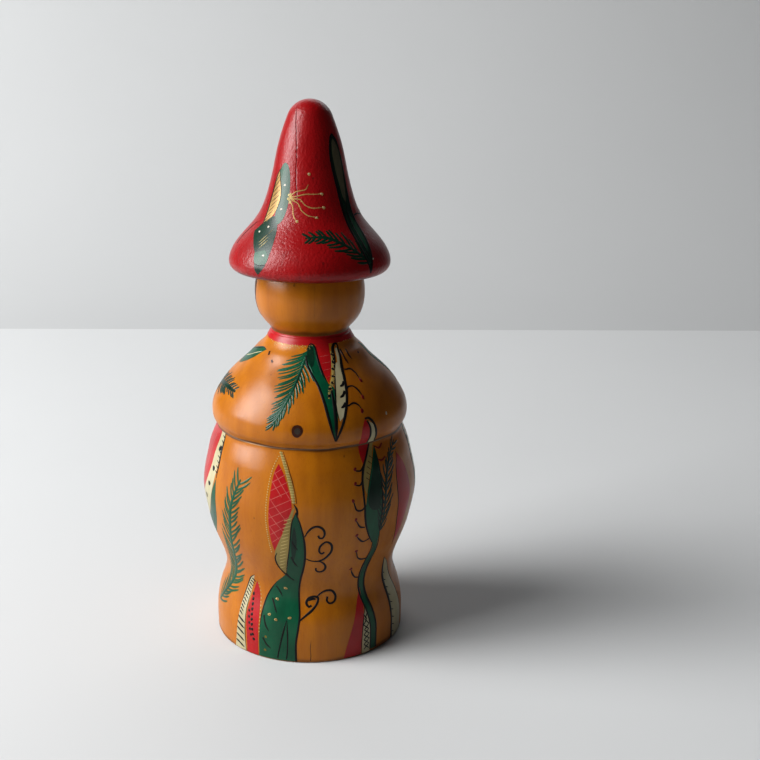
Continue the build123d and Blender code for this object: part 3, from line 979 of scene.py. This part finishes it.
def collar(brush):
    """The red collar band round the neck, with a stippled gold hem."""
    turn = np.radians(np.arange(0, 361, 9.0))
    hem = HEM_HEIGHT + 0.25 * np.sin(turn * 3) + 0.12 * np.sin(turn * 7)
    fine = np.arange(0, 360, 2.0)
    lower = np.interp(fine, np.degrees(turn), hem)
    top = NECK - 0.12
    film = brush.film("red")
    first = len(film["vertices"])
    rings = [(lower, PAINT_FOOT)]
    rings += [(lower + (top - lower) * share, SECOND_COAT) for share in np.linspace(0, 1, 26)]
    rings.append((lower * 0 + top, PAINT_FOOT))
    for heights, lift in rings:
        film["vertices"].extend(brush.skin.place(fine, heights, lift).tolist())
    count = len(fine)
    for i in range(len(rings)):
        j = (i + 1) % len(rings)
        for k in range(count):
            m = (k + 1) % count
            film["faces"].append(tuple(first + n for n in (i * count + k, i * count + m, j * count + m,
                j * count + k)))
    rng = random.Random(31)
    for degrees in np.arange(0, 360, 3.4):
        if rng.random() < 0.72 and not 5 < degrees < 27:
            height = float(np.interp(degrees, np.degrees(turn), hem))
            brush.dot("gold", degrees + rng.uniform(-1, 1), height + rng.uniform(-0.4, 0.1),
                rng.uniform(0.3, 0.6), 0.8)
    for degrees in np.arange(-52, 3, 1.5):
        brush.dot("straw", degrees + rng.uniform(-1, 1), 114.9 + rng.uniform(-0.9, 0.5),
            rng.uniform(0.22, 0.4), 0.9)


def cape_fold(brush):
    """The pendant of the collar with the dark folded leaf, the toothed cream leaf and its three hooks."""
    brush.fill("red", [(6.5, 116), (8.5, 111.5), (11.5, 107.5)], [(14.6, 104.4), (17.6, 107), (21.5, 110.6)],
        [(25, 116), (16, 116)])
    for height in range(106, 114, 2):
        brush.stroke("rose", [(14.5 - (height - 104) * 0.5, height), (16.5 + (height - 104) * 0.55,
            height + 0.3)], 0.22, (0.5, 0.5), SECOND_COAT)
    left = [(-4.2, 113.6), (-2.6, 110), (1.4, 107.4), (5.8, 104.6), (8.8, 100.4), (10.6, 95.5), (12.2, 90.5)]
    right = [(14.2, 86), (15.4, 90), (16.2, 94.5), (16.4, 99), (17.2, 103.2), (14, 104.3), (10.6, 107.4),
        (8, 111.2), (5.8, 114.6), (0.8, 115.7)]
    brush.fill("green", left, right)
    brush.fill("dark_green", [(-3.6, 113.4), (-1.5, 110.6), (2, 109), (4.6, 111.5), (3.6, 114.6),
        (-0.2, 115)], lift=SECOND_COAT)
    brush.stroke("black", [(-4.6, 112.4), (-2.6, 109.6), (1.4, 107), (5.6, 104.2), (8.6, 100), (10.4, 95.2),
        (12, 90.4), (14.1, 86)], 1.1, (0.7, 0.5))
    brush.stroke("black", [(-4.2, 114), (0.6, 115.9), (5.9, 114.9), (8.2, 111), (10.8, 107.2), (14, 104)],
        0.9)
    brush.stroke("black", [(15.2, 102.4), (15, 98), (14.8, 94), (14.6, 89.6), (14.4, 86.4)], 1.3, (0.5, 0.4))
    cream_left = [(23, 108.2), (20, 104.6), (17.8, 101.4), (16.6, 97.4)]
    cream_right = [(17.2, 93), (19.6, 94.2), (21.4, 96), (23.2, 98.8), (24.6, 101.2), (26.4, 103.8)]
    brush.fill("cream", cream_left, cream_right, [(28.8, 108), (28.2, 109.6), (26.2, 109.9)])
    for start, end in (((26.6, 104.4), (22.2, 103.2)), ((24.8, 101.8), (20, 100.1)),
            ((22.8, 98.4), (19.2, 97))):
        middle = ((start[0] + end[0]) / 2, (start[1] + end[1]) / 2 - 0.35)
        brush.stroke("black", [start, middle, end], 1.2, (1.0, 0.3))
    brush.fill("cream", [(26.6, 108.6), (29, 111.4), (32, 113.9)], [(34.8, 114), (32, 111.3), (29.4, 108.6)])
    brush.stroke("black", [(37, 115), (33.6, 111.6), (30.6, 108.6), (28, 105), (25.2, 100.6), (22.4, 96.8),
        (19.4, 92.8), (16.6, 89.2), (14.4, 86)], 1.25, (0.7, 0.5))
    brush.stroke("black", [(22.6, 108), (25.4, 111), (28.6, 114), (33, 115.4), (37.4, 115.2)], 1.25,
        (0.4, 0.7))
    brush.stroke("black", [(22.6, 107.8), (19.4, 104.4), (17.4, 101.2), (16.2, 97.4), (16.8, 93)], 0.6)
    beads = [(25.2, 112.4), (23.4, 110.2), (21.4, 108.2), (19.4, 106.2), (17.2, 104.4), (14.4, 102.8),
        (12.8, 100.8)]
    brush.stroke("khaki", [(26.2, 113.2), (22.4, 109.2), (18.4, 105.2), (14.4, 102.6), (12.4, 100)], 1.6,
        (0.7, 0.7), GROUND_COAT)
    for degrees, height in beads:
        brush.dot("black", degrees, height, 1.5, 0.85, 0.08)
    dotted(brush, "gold", [(26.8, 113), (23.2, 109.2), (19.2, 105.2), (15, 102.2)], 1.5, 0.45, 0.11)
    for hook in ([(29.4, 108.1), (33, 107.6), (37.8, 107.6), (40.8, 106.4), (41.5, 104.6)],
            [(26, 102), (28.4, 102.8), (32.2, 102.8), (35, 101.5), (36.2, 99.9)], [(21.6, 97.3),
            (24.6, 97.5), (28.2, 98), (31, 97.2), (32.2, 95.9)]):
        brush.stroke("black", hook, 0.75, (0.9, 0.5))
        brush.dot("deep_red", hook[-1][0] + 0.2, hook[-1][1] - 0.7, 1.3, 1.6)


RIGHT_NEEDLES = 14  # along the right of the stem, from the root to where they are shortest


def cape_sprig(brush):
    """The big pine sprig on the back of the cape, tip down."""
    rng = random.Random(5)
    stem = [(1.5, 114.4), (-4, 112), (-8, 108.6), (-11, 104.6), (-14, 100.4), (-17.4, 96), (-20.6, 91.8)]
    brush.stroke("green", stem, 1.35, (1.0, 0.4), SECOND_COAT)
    brush.stroke("dark_green", [(p[0] + 0.6, p[1]) for p in stem[:-2]], 0.7, (0.9, 0.3), FINE_LINES)
    left_roots = along_points(brush, stem, 1.25)
    for i, (degrees, height) in enumerate(left_roots):
        share = i / (len(left_roots) - 1)
        reach = 9.8 * (1 - 0.42 * share) * rng.uniform(0.88, 1.08) * min(1, 0.7 + share * 3)
        lean = math.radians(-151 + 20 * share + rng.uniform(-4, 4))
        needle(brush, degrees, height, reach, lean)
    for i, (degrees, height) in enumerate(along_points(brush, stem[1:], 1.55)):
        share = i / RIGHT_NEEDLES
        reach = 8.2 * (1 - 0.5 * share) * rng.uniform(0.85, 1.1)
        lean = math.radians(-62 - 26 * share + rng.uniform(-6, 6))
        needle(brush, degrees, height, reach, lean)


def needle(brush, degrees, height, reach, lean):
    """One pine needle from a root, reach mm long, lean radians from the rightward level."""
    scale = math.radians(1) * float(brush.skin.radius(height))
    along = float(brush.skin.along(height))
    points = []
    for share, bend in ((0, 0), (0.5, 0.04), (1, -0.06)):
        x = degrees + math.cos(lean + bend) * reach * share / scale
        points.append((x, float(brush.skin.height_at(along + math.sin(lean + bend) * reach * share))))
    brush.stroke("green", points, 0.85, (0.9, 0.45), SECOND_COAT, 1.3)


def cape_left(brush):
    """The small leaf and the small sprig that reach round from the front on the left."""
    brush.fill("green", [(-57.5, 112.3), (-66, 112.6), (-76, 112), (-90, 110.6)], [(-108, 108), (-92, 104.8),
        (-80, 106.4), (-70, 108.7), (-63, 110.8)])
    brush.stroke("dark_green", [(-57.5, 112.3), (-66, 112.5), (-76, 111.8), (-90, 110.4), (-107, 107.8)],
        0.9, (0.3, 0.5), SECOND_COAT)
    brush.stroke("cream", [(-62, 111.4), (-72, 110.2), (-84, 108.4), (-98, 106.8)], 0.5, (0.3, 0.3),
        SECOND_COAT)
    sprig(brush, "dark_green", 12, [(-108, 96.6), (-94, 97.6), (-82, 98.4), (-70, 98.9), (-57, 98.7)], 6.8,
        44, 2.1, 0.95, 2.0, tip=0.5)


def knot_heart(brush):
    """The dark eye of the pin knot on the cape, with its greyer middle."""
    brush.fill("brown", [(-7, 92.2), (-4.8, 91.7), (-4, 90.2), (-4.8, 88.8), (-7.2, 87.8), (-9.2, 88.4),
        (-10.2, 90), (-9.4, 91.6)], lift=0.02)
    brush.fill("knot", [(-7.2, 91.2), (-5.8, 90.9), (-5.4, 89.8), (-6.6, 89), (-8.2, 89.3), (-8.7, 90.4)],
        lift=0.035)


def cape_marks(brush):
    """Dashes and touches of brown beside the neck, and one white speck."""
    brush.stroke("brown", [(-50.6, 112.2), (-48.4, 111.2)], 1.1, (0.8, 0.8))
    brush.stroke("brown", [(-41.2, 110), (-38.6, 109.3)], 1.0, (0.8, 0.8))
    brush.stroke("brown", [(38.6, 113.6), (38, 111.4), (39.2, 109)], 0.9, (0.6, 0.3))
    brush.stroke("brown", [(46.4, 113.2), (45.4, 111.6), (46.2, 110)], 0.9, (0.6, 0.3))
    brush.dot("brown", 62, 111.2, 1.1, 0.8)
    brush.dot("white", 50, 92.4, 0.9, 1.5)


def rim_leaf(brush):
    """The upper half of the leaf that hangs over the seam on the right."""
    low = SEAM + 0.25
    brush.fill("red", [(29.6, low), (29.8, 87), (31, 90.4)], [(33.2, 92.8), (35, 89.6), (35.4, 86.6)],
        [(35.2, low), (32.4, low)])
    brush.fill("cream", [(36, low), (36.4, 86.5), (36.2, 89.6)], [(35.2, 91.6), (38, 90.2), (39.8, 87)],
        [(40.8, low), (38.4, low)])
    brush.stroke("black", [(35.6, low), (36, 86.6), (35.8, 89.2), (34, 91.8)], 0.95, (0.8, 0.8))
    brush.stroke("black", [(32.8, 92.6), (35.6, 92.6), (38.6, 90.4), (40.2, 87.2), (41.2, low)], 1.15,
        (0.6, 0.8))


def beard(brush):
    """The painted beard on the front of the cape: a cream shield drawn over with long grey-brown hairs."""
    rng = random.Random(21)
    outline_right = [(0, 90), (6, 92.6), (13, 97.5), (21, 104.5), (31, 111)]
    brush.fill("cream", outline_right, [(44, 115), (0, 115.2)], [(-44, 115), (-31, 111), (-21, 104.5),
        (-13, 97.5), (-6, 92.6)])
    for i in range(41):
        share = (i - 20) / 20
        start = (share * 40, 114.6 - abs(share) * 0.6)
        drop = 1 - abs(share) ** 1.2
        end = (share * 13 * (1 + 0.6 * abs(share)), 111.5 - 19.5 * drop + rng.uniform(-0.5, 1.5))
        middle = ((start[0] + end[0]) / 2 + rng.uniform(-1.2, 1.2),
            (start[1] + end[1]) / 2 + rng.uniform(-0.4, 0.4))
        brush.stroke("white" if i % 2 else "khaki", [start, middle, end], 0.5, (0.4, 0.2), SECOND_COAT)
    for _ in brush.both_sides():
        brush.stroke("black", [(44, 114.8), (31, 110.6), (21, 104), (13, 97), (6, 92), (0, 89.4)], 0.6,
            (0.4, 0.7))


def front_button(brush):
    """A painted button under the beard, and leaves beside it."""
    brush.dot("gold", 0, 86.2, 3.0, 0.8)
    brush.dot("deep_red", 0, 86.2, 1.4, 0.8, 0.12)
    for _ in brush.both_sides():
        brush.fill("green", [(22, 100), (27, 96.5), (30, 91.5)], [(29, 86.5), (23.5, 90), (21, 95)])
        brush.stroke("black", [(22, 100.4), (27.6, 96.6), (30.6, 91.5), (29.2, 86.2)], 0.6)
        brush.stroke("black", [(23, 98), (25.6, 92.6), (28.4, 87.6)], 0.4, (0.8, 0.3))
        dotted(brush, "gold", [(20.4, 100), (19.4, 95), (22, 89.6)], 1.5, 0.55)


def cape_right_sprig(brush):
    sprig(brush, "green", 15, [(84, 113), (90, 108), (97, 102), (106, 96), (116, 91)], 6.0, 34, 1.4, 0.6, 1.3)


# ---------------------------------------------------------------------------------------------------------
# Face and hat
# ---------------------------------------------------------------------------------------------------------


def face(brush):
    """A plain doll's face: eyes with a painted highlight, brows, cheeks, nose, moustache and side hair."""
    for side in brush.both_sides():
        brush.fill("white", [(13, 132.2), (17, 133.7), (21.5, 133.9)], [(26, 132), (22, 130.7),
            (17.5, 130.6)])
        brush.dot("black", 19.4, 132.3, 2.3, 1.15, SECOND_COAT)
        # a painted highlight: a white glint in each eye, on the same side in both
        brush.dot("white", 19.4 - 1.2 * side, 132.9, 0.6, 1.0, 0.12)
        brush.stroke("black", [(12.4, 132.2), (17, 134), (22, 134.2), (26.8, 131.9)], 0.5)
        brush.stroke("brown", [(11, 136), (18, 137.4), (27, 136.2)], 0.9, (0.5, 0.3))
        brush.fill("rose", [(24, 127.6), (28, 129), (33, 128.6), (34.5, 126.4), (31, 124.6), (26, 125)])
        for i in range(5):
            brush.stroke("cream", [(2, 124.4 - i * 0.25), (8 + i, 124.2 - i * 0.8),
                (17 + i * 1.4, 122.8 - i * 0.35), (23 - i, 124.6 - i * 0.8)], 0.9, (0.8, 0.3),
                GROUND_COAT + 0.012 * i)
        for i in range(6):
            root = 48 + i * 4.4
            brush.stroke("brown", [(root, 139.6), (root + 2.6, 134), (root - 1, 128.6), (root + 1.8, 123.6)],
                1.2, (0.8, 0.3), GROUND_COAT + 0.01 * (i % 3))
    brush.fill("rose", [(-4.6, 127.6), (-2.8, 130), (0, 130.8), (2.8, 130), (4.6, 127.6), (2.4, 126),
        (-2.4, 126)], lift=SECOND_COAT)
    brush.stroke("deep_red", [(-7, 121), (-3, 120.2), (3, 120.2), (7, 121)], 0.9, (0.4, 0.4))


def hat_leaf(brush):
    """The parted leaf on the hat: green lobe, gold blade, dark lobe with pale hatching, tip at the brim."""
    brush.fill("green", [(-52, 176), (-47.6, 178), (-42, 178.9), (-36, 178), (-31.5, 175.4), (-29, 171.6),
        (-28.2, 167), (-29.2, 162.6), (-32.4, 159.4), (-36.6, 158.3)], [(-42, 160), (-44, 162.6),
        (-41.6, 166), (-42.4, 169.6), (-46.6, 173)])
    brush.fill("gold", [(-52.5, 175.8), (-47, 172.6), (-42.8, 169.4), (-41.8, 166.4), (-44, 163),
        (-49, 160)], [(-55.5, 158), (-58, 161.6), (-58.8, 166), (-57.6, 171), (-55, 174.6)])
    for height in np.arange(159.4, 174, 1.7):
        inner = -44.6 - 0.9 * abs(height - 166.5)
        brush.stroke("brown", [(-57.6, height - 1.0), (inner, height + 1.6)], 0.34, (0.5, 0.5), SECOND_COAT)
    brush.stroke("black", [(-52.4, 176.4), (-47.4, 172.9), (-42.8, 169.7), (-41.6, 166.4), (-43.8, 162.8)],
        0.4)
    brush.stroke("black", [(-52, 176.4), (-56, 174.6), (-58.8, 170.6), (-59.8, 166), (-58.8, 161.4),
        (-56, 157.8)], 0.75, (0.4, 0.4))
    brush.fill("dark_green", [(-62, 155.4), (-56.6, 158.2), (-50, 160), (-43.6, 160.9), (-37, 159.2),
        (-33, 156), (-31, 151.6)], [(-31.2, 148.4), (-36, 148.2), (-42.4, 148.6), (-48, 150.5),
        (-53.5, 152.6), (-58.5, 154.2)])
    brush.fill("green", [(-31.2, 148.4), (-32, 146.6), (-34, 145.8), (-38.5, 145.6), (-42, 146)],
        [(-45, 149.2), (-42.4, 149.6), (-36, 150.4)], lift=SECOND_COAT)
    brush.fill("dark_green", [(-42, 145.8), (-37, 145.5)], [(-32.2, 145.9), (-35, 143.8)],
        [(-38.2, 142.2), (-40.8, 143.8)])
    brush.stroke("black", [(-42.2, 146), (-38, 145.5), (-32, 146)], 0.35)
    for start, end in (((-46, 152.4), (-41.6, 155)), ((-44.4, 151.6), (-39.4, 154.4)),
            ((-42.6, 150.9), (-38, 153.4)), ((-40.6, 155.4), (-37.6, 157))):
        brush.stroke("khaki", [start, end], 0.4, (0.4, 0.3))
    for degrees, height in ((-53.5, 155.5), (-45.5, 157.4), (-36.6, 163.4), (-37.6, 171.4), (-36, 148.8)):
        brush.dot("white", degrees, height, 1.0, 0.9)


def hat_edge_curl(brush):
    """A black curl that shows at the left edge of the brim."""
    brush.stroke("black", [(-70, 158), (-75, 156), (-78.6, 153), (-78, 150)], 0.6, (0.4, 0.8))


def hat_star(brush):
    """A spray of gold rays with dots at their ends, from one root; each big end dot has a painted highlight.
    """
    for ray in ([(-27, 167.6), (-20, 169.4), (-11, 170), (-6, 170.4), (-2.6, 172)], [(-27, 167.4),
            (-18, 168), (-6, 168.8), (4, 168.8), (14.4, 168.9)], [(-24, 167), (-13, 167), (-6, 165.2),
            (3, 164.3), (15, 164.5)], [(-24, 166.8), (-15, 165.6), (-10, 163.4), (-2, 161.8), (6, 161.4)],
            [(-25.4, 166), (-21.6, 164.6), (-19.4, 161.9), (-15.6, 160.2)]):
        brush.stroke("gold", ray, 0.4, (1.3, 0.5))
        dotted(brush, "gold", ray[1:], 1.7, 0.48)
    for degrees, height in ((-1.6, 175.5), (15.6, 168.9), (16.8, 164.4), (7.4, 161.2), (-14.2, 159.9)):
        brush.dot("gold", degrees, height, 1.35, 0.8)
        # a painted highlight: a white touch on the upper left of each gold dot
        brush.dot("white", degrees - 0.6, height + 0.12, 0.55, 0.8, 0.12)
    for degrees, height in ((-28.4, 168.2), (-26.6, 168.4), (-27.4, 166.8), (-24.8, 167.4), (-28.8, 167),
            (-25.8, 166)):
        brush.dot("straw", degrees, height, 1.25)


def hat_sprig(brush):
    """The dark sprig above the brim, its tip to the left."""
    sprig(brush, "dark_green", 6, [(46.5, 146.4), (41, 148.6), (34, 151.2), (25, 153.4), (15, 154.9),
        (5, 155.2), (-4.5, 154.8)], 6.4, 42, 2.6, 1.05, 1.4, lift=GROUND_COAT, tip=0.6)


def hat_tall_leaf(brush):
    """The tall leaf on the right of the hat: black outline, grey-khaki heart, green foot."""
    left = [(48, 188.6), (41.6, 187.4), (36.6, 184), (35.6, 180.4), (38, 176), (41, 171), (42.4, 165.4),
        (42.6, 160), (42.4, 155), (43.4, 149), (46, 142.6)]
    right = [(46, 142.6), (51, 149), (55.6, 154.6), (57, 159), (58, 164.4), (60.4, 170), (61.8, 176),
        (60.6, 181.4), (56, 186.4), (48, 188.6)]
    brush.fill("dark_green", left[:-1], right[:-1])
    brush.fill("moss", [(47.4, 187), (42.2, 185.4), (39.8, 182), (41.6, 177.6), (45, 172.4), (47.6, 167.6),
        (50.6, 165.6), (54.4, 168.4), (57.6, 173), (58.6, 178), (55.6, 183.4)], lift=SECOND_COAT)
    brush.fill("green", [(49.4, 162), (46.6, 157), (46.8, 151), (48.6, 149.8), (52.6, 153.4), (54.6, 158)],
        lift=SECOND_COAT)
    brush.stroke("black", left, 1.3, (0.7, 0.6))
    brush.stroke("black", right[::-1], 1.1, (0.7, 0.6))
    brush.stroke("black", [(50, 166), (48.6, 160), (47.6, 154), (47.4, 148)], 1.0, (0.4, 0.4))
    brush.stroke("black", [(57, 160.8), (68, 161.2), (80, 160.6), (90, 161.8)], 0.6, (0.9, 0.3))
    brush.dot("white", 50.6, 147.2, 0.8)


# Every motif, with the name of its pieces, the skin it is on, and the degrees that it is turned by.
PAINTING = (
    ("body_netted_leaf", BASE, netted_leaf, 0.0),
    ("body_great_leaf", BASE, great_leaf, 0.0),
    ("body_tendrils", BASE, tendrils, 0.0),
    ("body_foot_strips", BASE, foot_strips, 0.0),
    ("body_left_bloom", BASE, left_bloom, 0.0),
    ("body_left_sprig", BASE, left_sprig, 0.0),
    ("body_long_stem", BASE, long_stem, 0.0),
    ("body_right_blades", BASE, right_foot_leaves, 0.0),
    ("body_right_edge", BASE, right_edge, 0.0),
    ("body_foot_check", BASE, foot_check, 0.0),
    ("body_front_leaf", BASE, front_panel, -BACK_LINE),
    ("body_front_left_sprig", BASE, front_left_sprig, -BACK_LINE),
    ("body_right_bloom", BASE, right_bloom, 0.0),
    ("body_right_sprig", BASE, right_sprig, 0.0),
    ("cape_collar", CAPE, collar, 0.0),
    ("cape_fold", CAPE, cape_fold, 0.0),
    ("cape_sprig", CAPE, cape_sprig, 0.0),
    ("cape_left_leaves", CAPE, cape_left, 0.0),
    ("cape_marks", CAPE, cape_marks, 0.0),
    ("cape_knot", CAPE, knot_heart, 0.0),
    ("cape_rim_leaf", CAPE, rim_leaf, 0.0),
    ("cape_beard", CAPE, beard, -BACK_LINE),
    ("cape_front", CAPE, front_button, -BACK_LINE),
    ("cape_right_sprig", CAPE, cape_right_sprig, 0.0),
    ("head_face", HEAD, face, -BACK_LINE),
    ("hat_leaf", HAT, hat_leaf, 0.0),
    ("hat_star", HAT, hat_star, 0.0),
    ("hat_curl", HAT, hat_edge_curl, 0.0),
    ("hat_sprig", HAT, hat_sprig, 0.0),
    ("hat_tall_leaf", HAT, hat_tall_leaf, 0.0),
    ("hat_front_leaf", HAT, hat_leaf, 175.0),
    ("hat_front_star", HAT, hat_star, -BACK_LINE),
    ("hat_front_sprig", HAT, hat_sprig, -152.0),
)

# ---------------------------------------------------------------------------------------------------------
# Stage
# ---------------------------------------------------------------------------------------------------------

# The camera stands over the middle of the back and looks a little down, with the figure left of the middle.
CAMERA_AZIMUTH = BACK_LINE
CAMERA_DISTANCE = 421.5 * MM  # level distance from the turning axis
CAMERA_HEIGHT = 224.7 * MM
CAMERA_PITCH = 16.72  # degrees down
CAMERA_YAW = 3.54  # degrees to the right of the axis
CAMERA_ROLL = 1.03  # degrees that bring the turning axis upright in the picture
CAMERA_LENS = 55.9

FIGURE_MIDDLE = Vector((0, 0, 0.1))
FLOOR_RADIUS = 1.0
PAPER_DISTANCE = 0.8  # from the turning axis back to the hanging paper, away from the camera
PAPER_BEND = 0.35
PAPER_SUNK = 0.0005  # how far its front edge lies under the floor
PAPER_HEIGHT = 0.42
PAPER_HALF_WIDTH = 0.52
DAYLIGHT = (0.985, 0.99, 1.0)


def make_camera():
    camera = bpy.data.objects.new("camera", bpy.data.cameras.new("camera"))
    camera.data.lens = CAMERA_LENS
    camera.data.sensor_width = 36.0
    camera.data.clip_start = 0.01
    azimuth = math.radians(CAMERA_AZIMUTH)
    place = Vector((math.sin(azimuth) * CAMERA_DISTANCE, -math.cos(azimuth) * CAMERA_DISTANCE, CAMERA_HEIGHT))
    turn = (Matrix.Rotation(azimuth - math.radians(CAMERA_YAW), 4, "Z")
            @ Matrix.Rotation(math.radians(90 - CAMERA_PITCH), 4, "X")
            @ Matrix.Rotation(math.radians(CAMERA_ROLL), 4, "Z"))
    camera.matrix_world = Matrix.Translation(place) @ turn
    bpy.context.scene.collection.objects.link(camera)
    bpy.context.scene.camera = camera


def make_lamp(name, azimuth, elevation, distance, size, power, tint):
    """A soft rectangular lamp that faces the middle of the figure. azimuth counts from the back line."""
    lamp = bpy.data.objects.new(name, bpy.data.lights.new(name, "AREA"))
    lamp.data.shape = "RECTANGLE"
    lamp.data.size, lamp.data.size_y = size
    lamp.data.energy = power
    lamp.data.color = tint
    lamp.visible_camera = False
    a, e = math.radians(azimuth + BACK_LINE), math.radians(elevation)
    out = Vector((math.sin(a) * math.cos(e), -math.cos(a) * math.cos(e), math.sin(e)))
    lamp.location = FIGURE_MIDDLE + out * distance
    lamp.rotation_euler = out.to_track_quat("Z", "Y").to_euler()
    bpy.context.scene.collection.objects.link(lamp)


def pale_paint(name, shade):
    """A plain pale surface; shade is how light it is, 0 to 1."""
    recipe = Recipe(name, IOR=1.4, Specular_IOR_Level=0.1)
    tone = recipe.mix(recipe.range(recipe.noise(3.0), 0.3, 0.7), colour(shade * 0.97, shade * 0.98,
        shade * 0.975), colour(shade, shade * 1.01, shade * 1.005))
    return recipe.finish(tone, recipe.bump(recipe.noise(40.0), 0.05, 0.5), 0.7)


def staged(name, vertices, faces, material):
    mesh = bpy.data.meshes.new(name)
    mesh.from_pydata(vertices, [], faces)
    mesh.materials.append(material)
    mesh.shade_smooth()
    piece = bpy.data.objects.new(name, mesh)
    bpy.context.scene.collection.objects.link(piece)


def make_stage():
    """A pale floor, a roll of pale paper bent up behind the figure, and a plain pale room."""
    turn = np.radians(np.arange(0, 360, 5.0))
    staged("floor", [(math.cos(t) * FLOOR_RADIUS, math.sin(t) * FLOOR_RADIUS, 0.0) for t in turn],
           [tuple(range(len(turn)))], pale_paint("pale_floor", 0.55))
    ahead = math.radians(CAMERA_AZIMUTH + 180)
    away = Vector((math.sin(ahead), -math.cos(ahead), 0.0))
    across = Vector((-away.y, away.x, 0.0))
    bend = [math.radians(angle) for angle in range(0, 91, 6)]
    profile = [(PAPER_DISTANCE - PAPER_BEND * (1 - math.sin(a)), PAPER_BEND * (1 - math.cos(a)) - PAPER_SUNK)
               for a in bend]
    profile.append((PAPER_DISTANCE, PAPER_HEIGHT))
    vertices = []
    for distance, height in profile:
        for side in (-PAPER_HALF_WIDTH, PAPER_HALF_WIDTH):
            vertices.append(away * distance + across * side + Vector((0, 0, height)))
    staged("paper_backdrop", vertices, [(2 * i, 2 * i + 1, 2 * i + 3,
        2 * i + 2) for i in range(len(profile) - 1)], pale_paint("pale_paper", 0.45))
    make_room()
    make_lamp("window", -78.0, 29.0, 1.4, (1.1, 1.25), 38.0, DAYLIGHT)
    make_lamp("window_core", -82.0, 31.0, 1.35, (0.5, 1.0), 14.0, DAYLIGHT)
    make_lamp("wall_glow", 180.0, 32.0, 0.9, (1.2, 0.6), 3.2, (0.97, 0.98, 1.0))
    bpy.context.scene.view_settings.view_transform = "Standard"


def make_room():
    """A dim room round the figure, with a pale backdrop where the camera looks past the floor."""
    world = bpy.data.worlds.new("room")
    world.use_nodes = True
    tree = world.node_tree
    dim = tree.nodes["Background"]
    dim.inputs["Color"].default_value = (0.9, 0.94, 1.0, 1.0)
    dim.inputs["Strength"].default_value = 0.03
    backdrop = tree.nodes.new("ShaderNodeBackground")
    backdrop.inputs["Color"].default_value = (0.56, 0.56, 0.55, 1.0)
    choose = tree.nodes.new("ShaderNodeMixShader")
    path = tree.nodes.new("ShaderNodeLightPath")
    tree.links.new(path.outputs["Is Camera Ray"], choose.inputs[0])
    tree.links.new(dim.outputs[0], choose.inputs[1])
    tree.links.new(backdrop.outputs[0], choose.inputs[2])
    tree.links.new(choose.outputs[0], tree.nodes["World Output"].inputs["Surface"])
    bpy.context.scene.world = world


# ---------------------------------------------------------------------------------------------------------
# The whole figure
# ---------------------------------------------------------------------------------------------------------

SEAT_ROOM = 0.05  # how far above the seam the lower body still counts as its shoulder, not yet as its spigot
CUP_RIM = 0.85 * float(BASE.radius(RIM))  # only what lies outside this radius shows in the seam

make_camera()
make_stage()
turned_piece("lower_body", BASE, 320, ("honey", "bare"), [
    # painted shade and dirt in the seam groove
    dirt_and_shade_line(SEAM, 0.3, 0.9, 0.85, CUP_RIM),
    # painted shade and dirt where the foot meets the floor
    dirt_and_shade_line(0.4, 0.5, 1.6, 0.5),
    dent(62, 30, 1.2, 0.15), dent(-66, 44, 1.0, 0.12), dent(14, 33, 0.8, 0.1),
], skin_top=SEAM + SEAT_ROOM)
turned_piece("cape", CAPE, 320, ("honey", "bare"), [
    # painted shade and dirt in the seam groove
    dirt_and_shade_line(SEAM, 0.15, 0.55, 0.85, CUP_RIM),
    # painted shade and dirt in the neck crease
    dirt_and_shade_line(NECK, 0.3, 1.0, 0.6),
    knot(-7.2, 90.0, 2.1, 2.1, 0.12),
    dent(28, 89, 0.8, 0.12), dent(-30, 88, 0.9, 0.1),
])
turned_piece("head_ball", HEAD, 240, ("honey", "bare"), [
    # painted shade and dirt in the neck crease
    dirt_and_shade_line(NECK, 0.8, 2.4, 0.7),
    # painted shadow of the hat brim on the crown, with dirt
    dirt_and_shade_line(CROWN, 0.6, 1.8, 0.6),
    crack(1.4, 124.0, 142.0, 0.45, 0.03, 0.1, 0.22),
])
turned_piece("hat_cone", HAT, 360, ("hat_red", "hat_red"), [
    crack(-4.7, 164.5, 198.5, 0.22, 0.14, 0.12, 0.75),
    # painted shade and dirt along the lower edge of the hat
    dirt_and_shade_line(float(HAT.levels[0]), 0.3, 1.2, 0.5),
    dent(12, 181, 0.8, 0.1), dent(-22, 153, 0.8, 0.1),
])
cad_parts["spine_dowel"].data.materials.clear()
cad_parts["spine_dowel"].data.materials.append(MATERIALS["bare"])
for brush_name, painted_skin, draw, turned_by in PAINTING:
    one_brush = Brush(brush_name, painted_skin, turned_by)
    draw(one_brush)
    one_brush.laid()
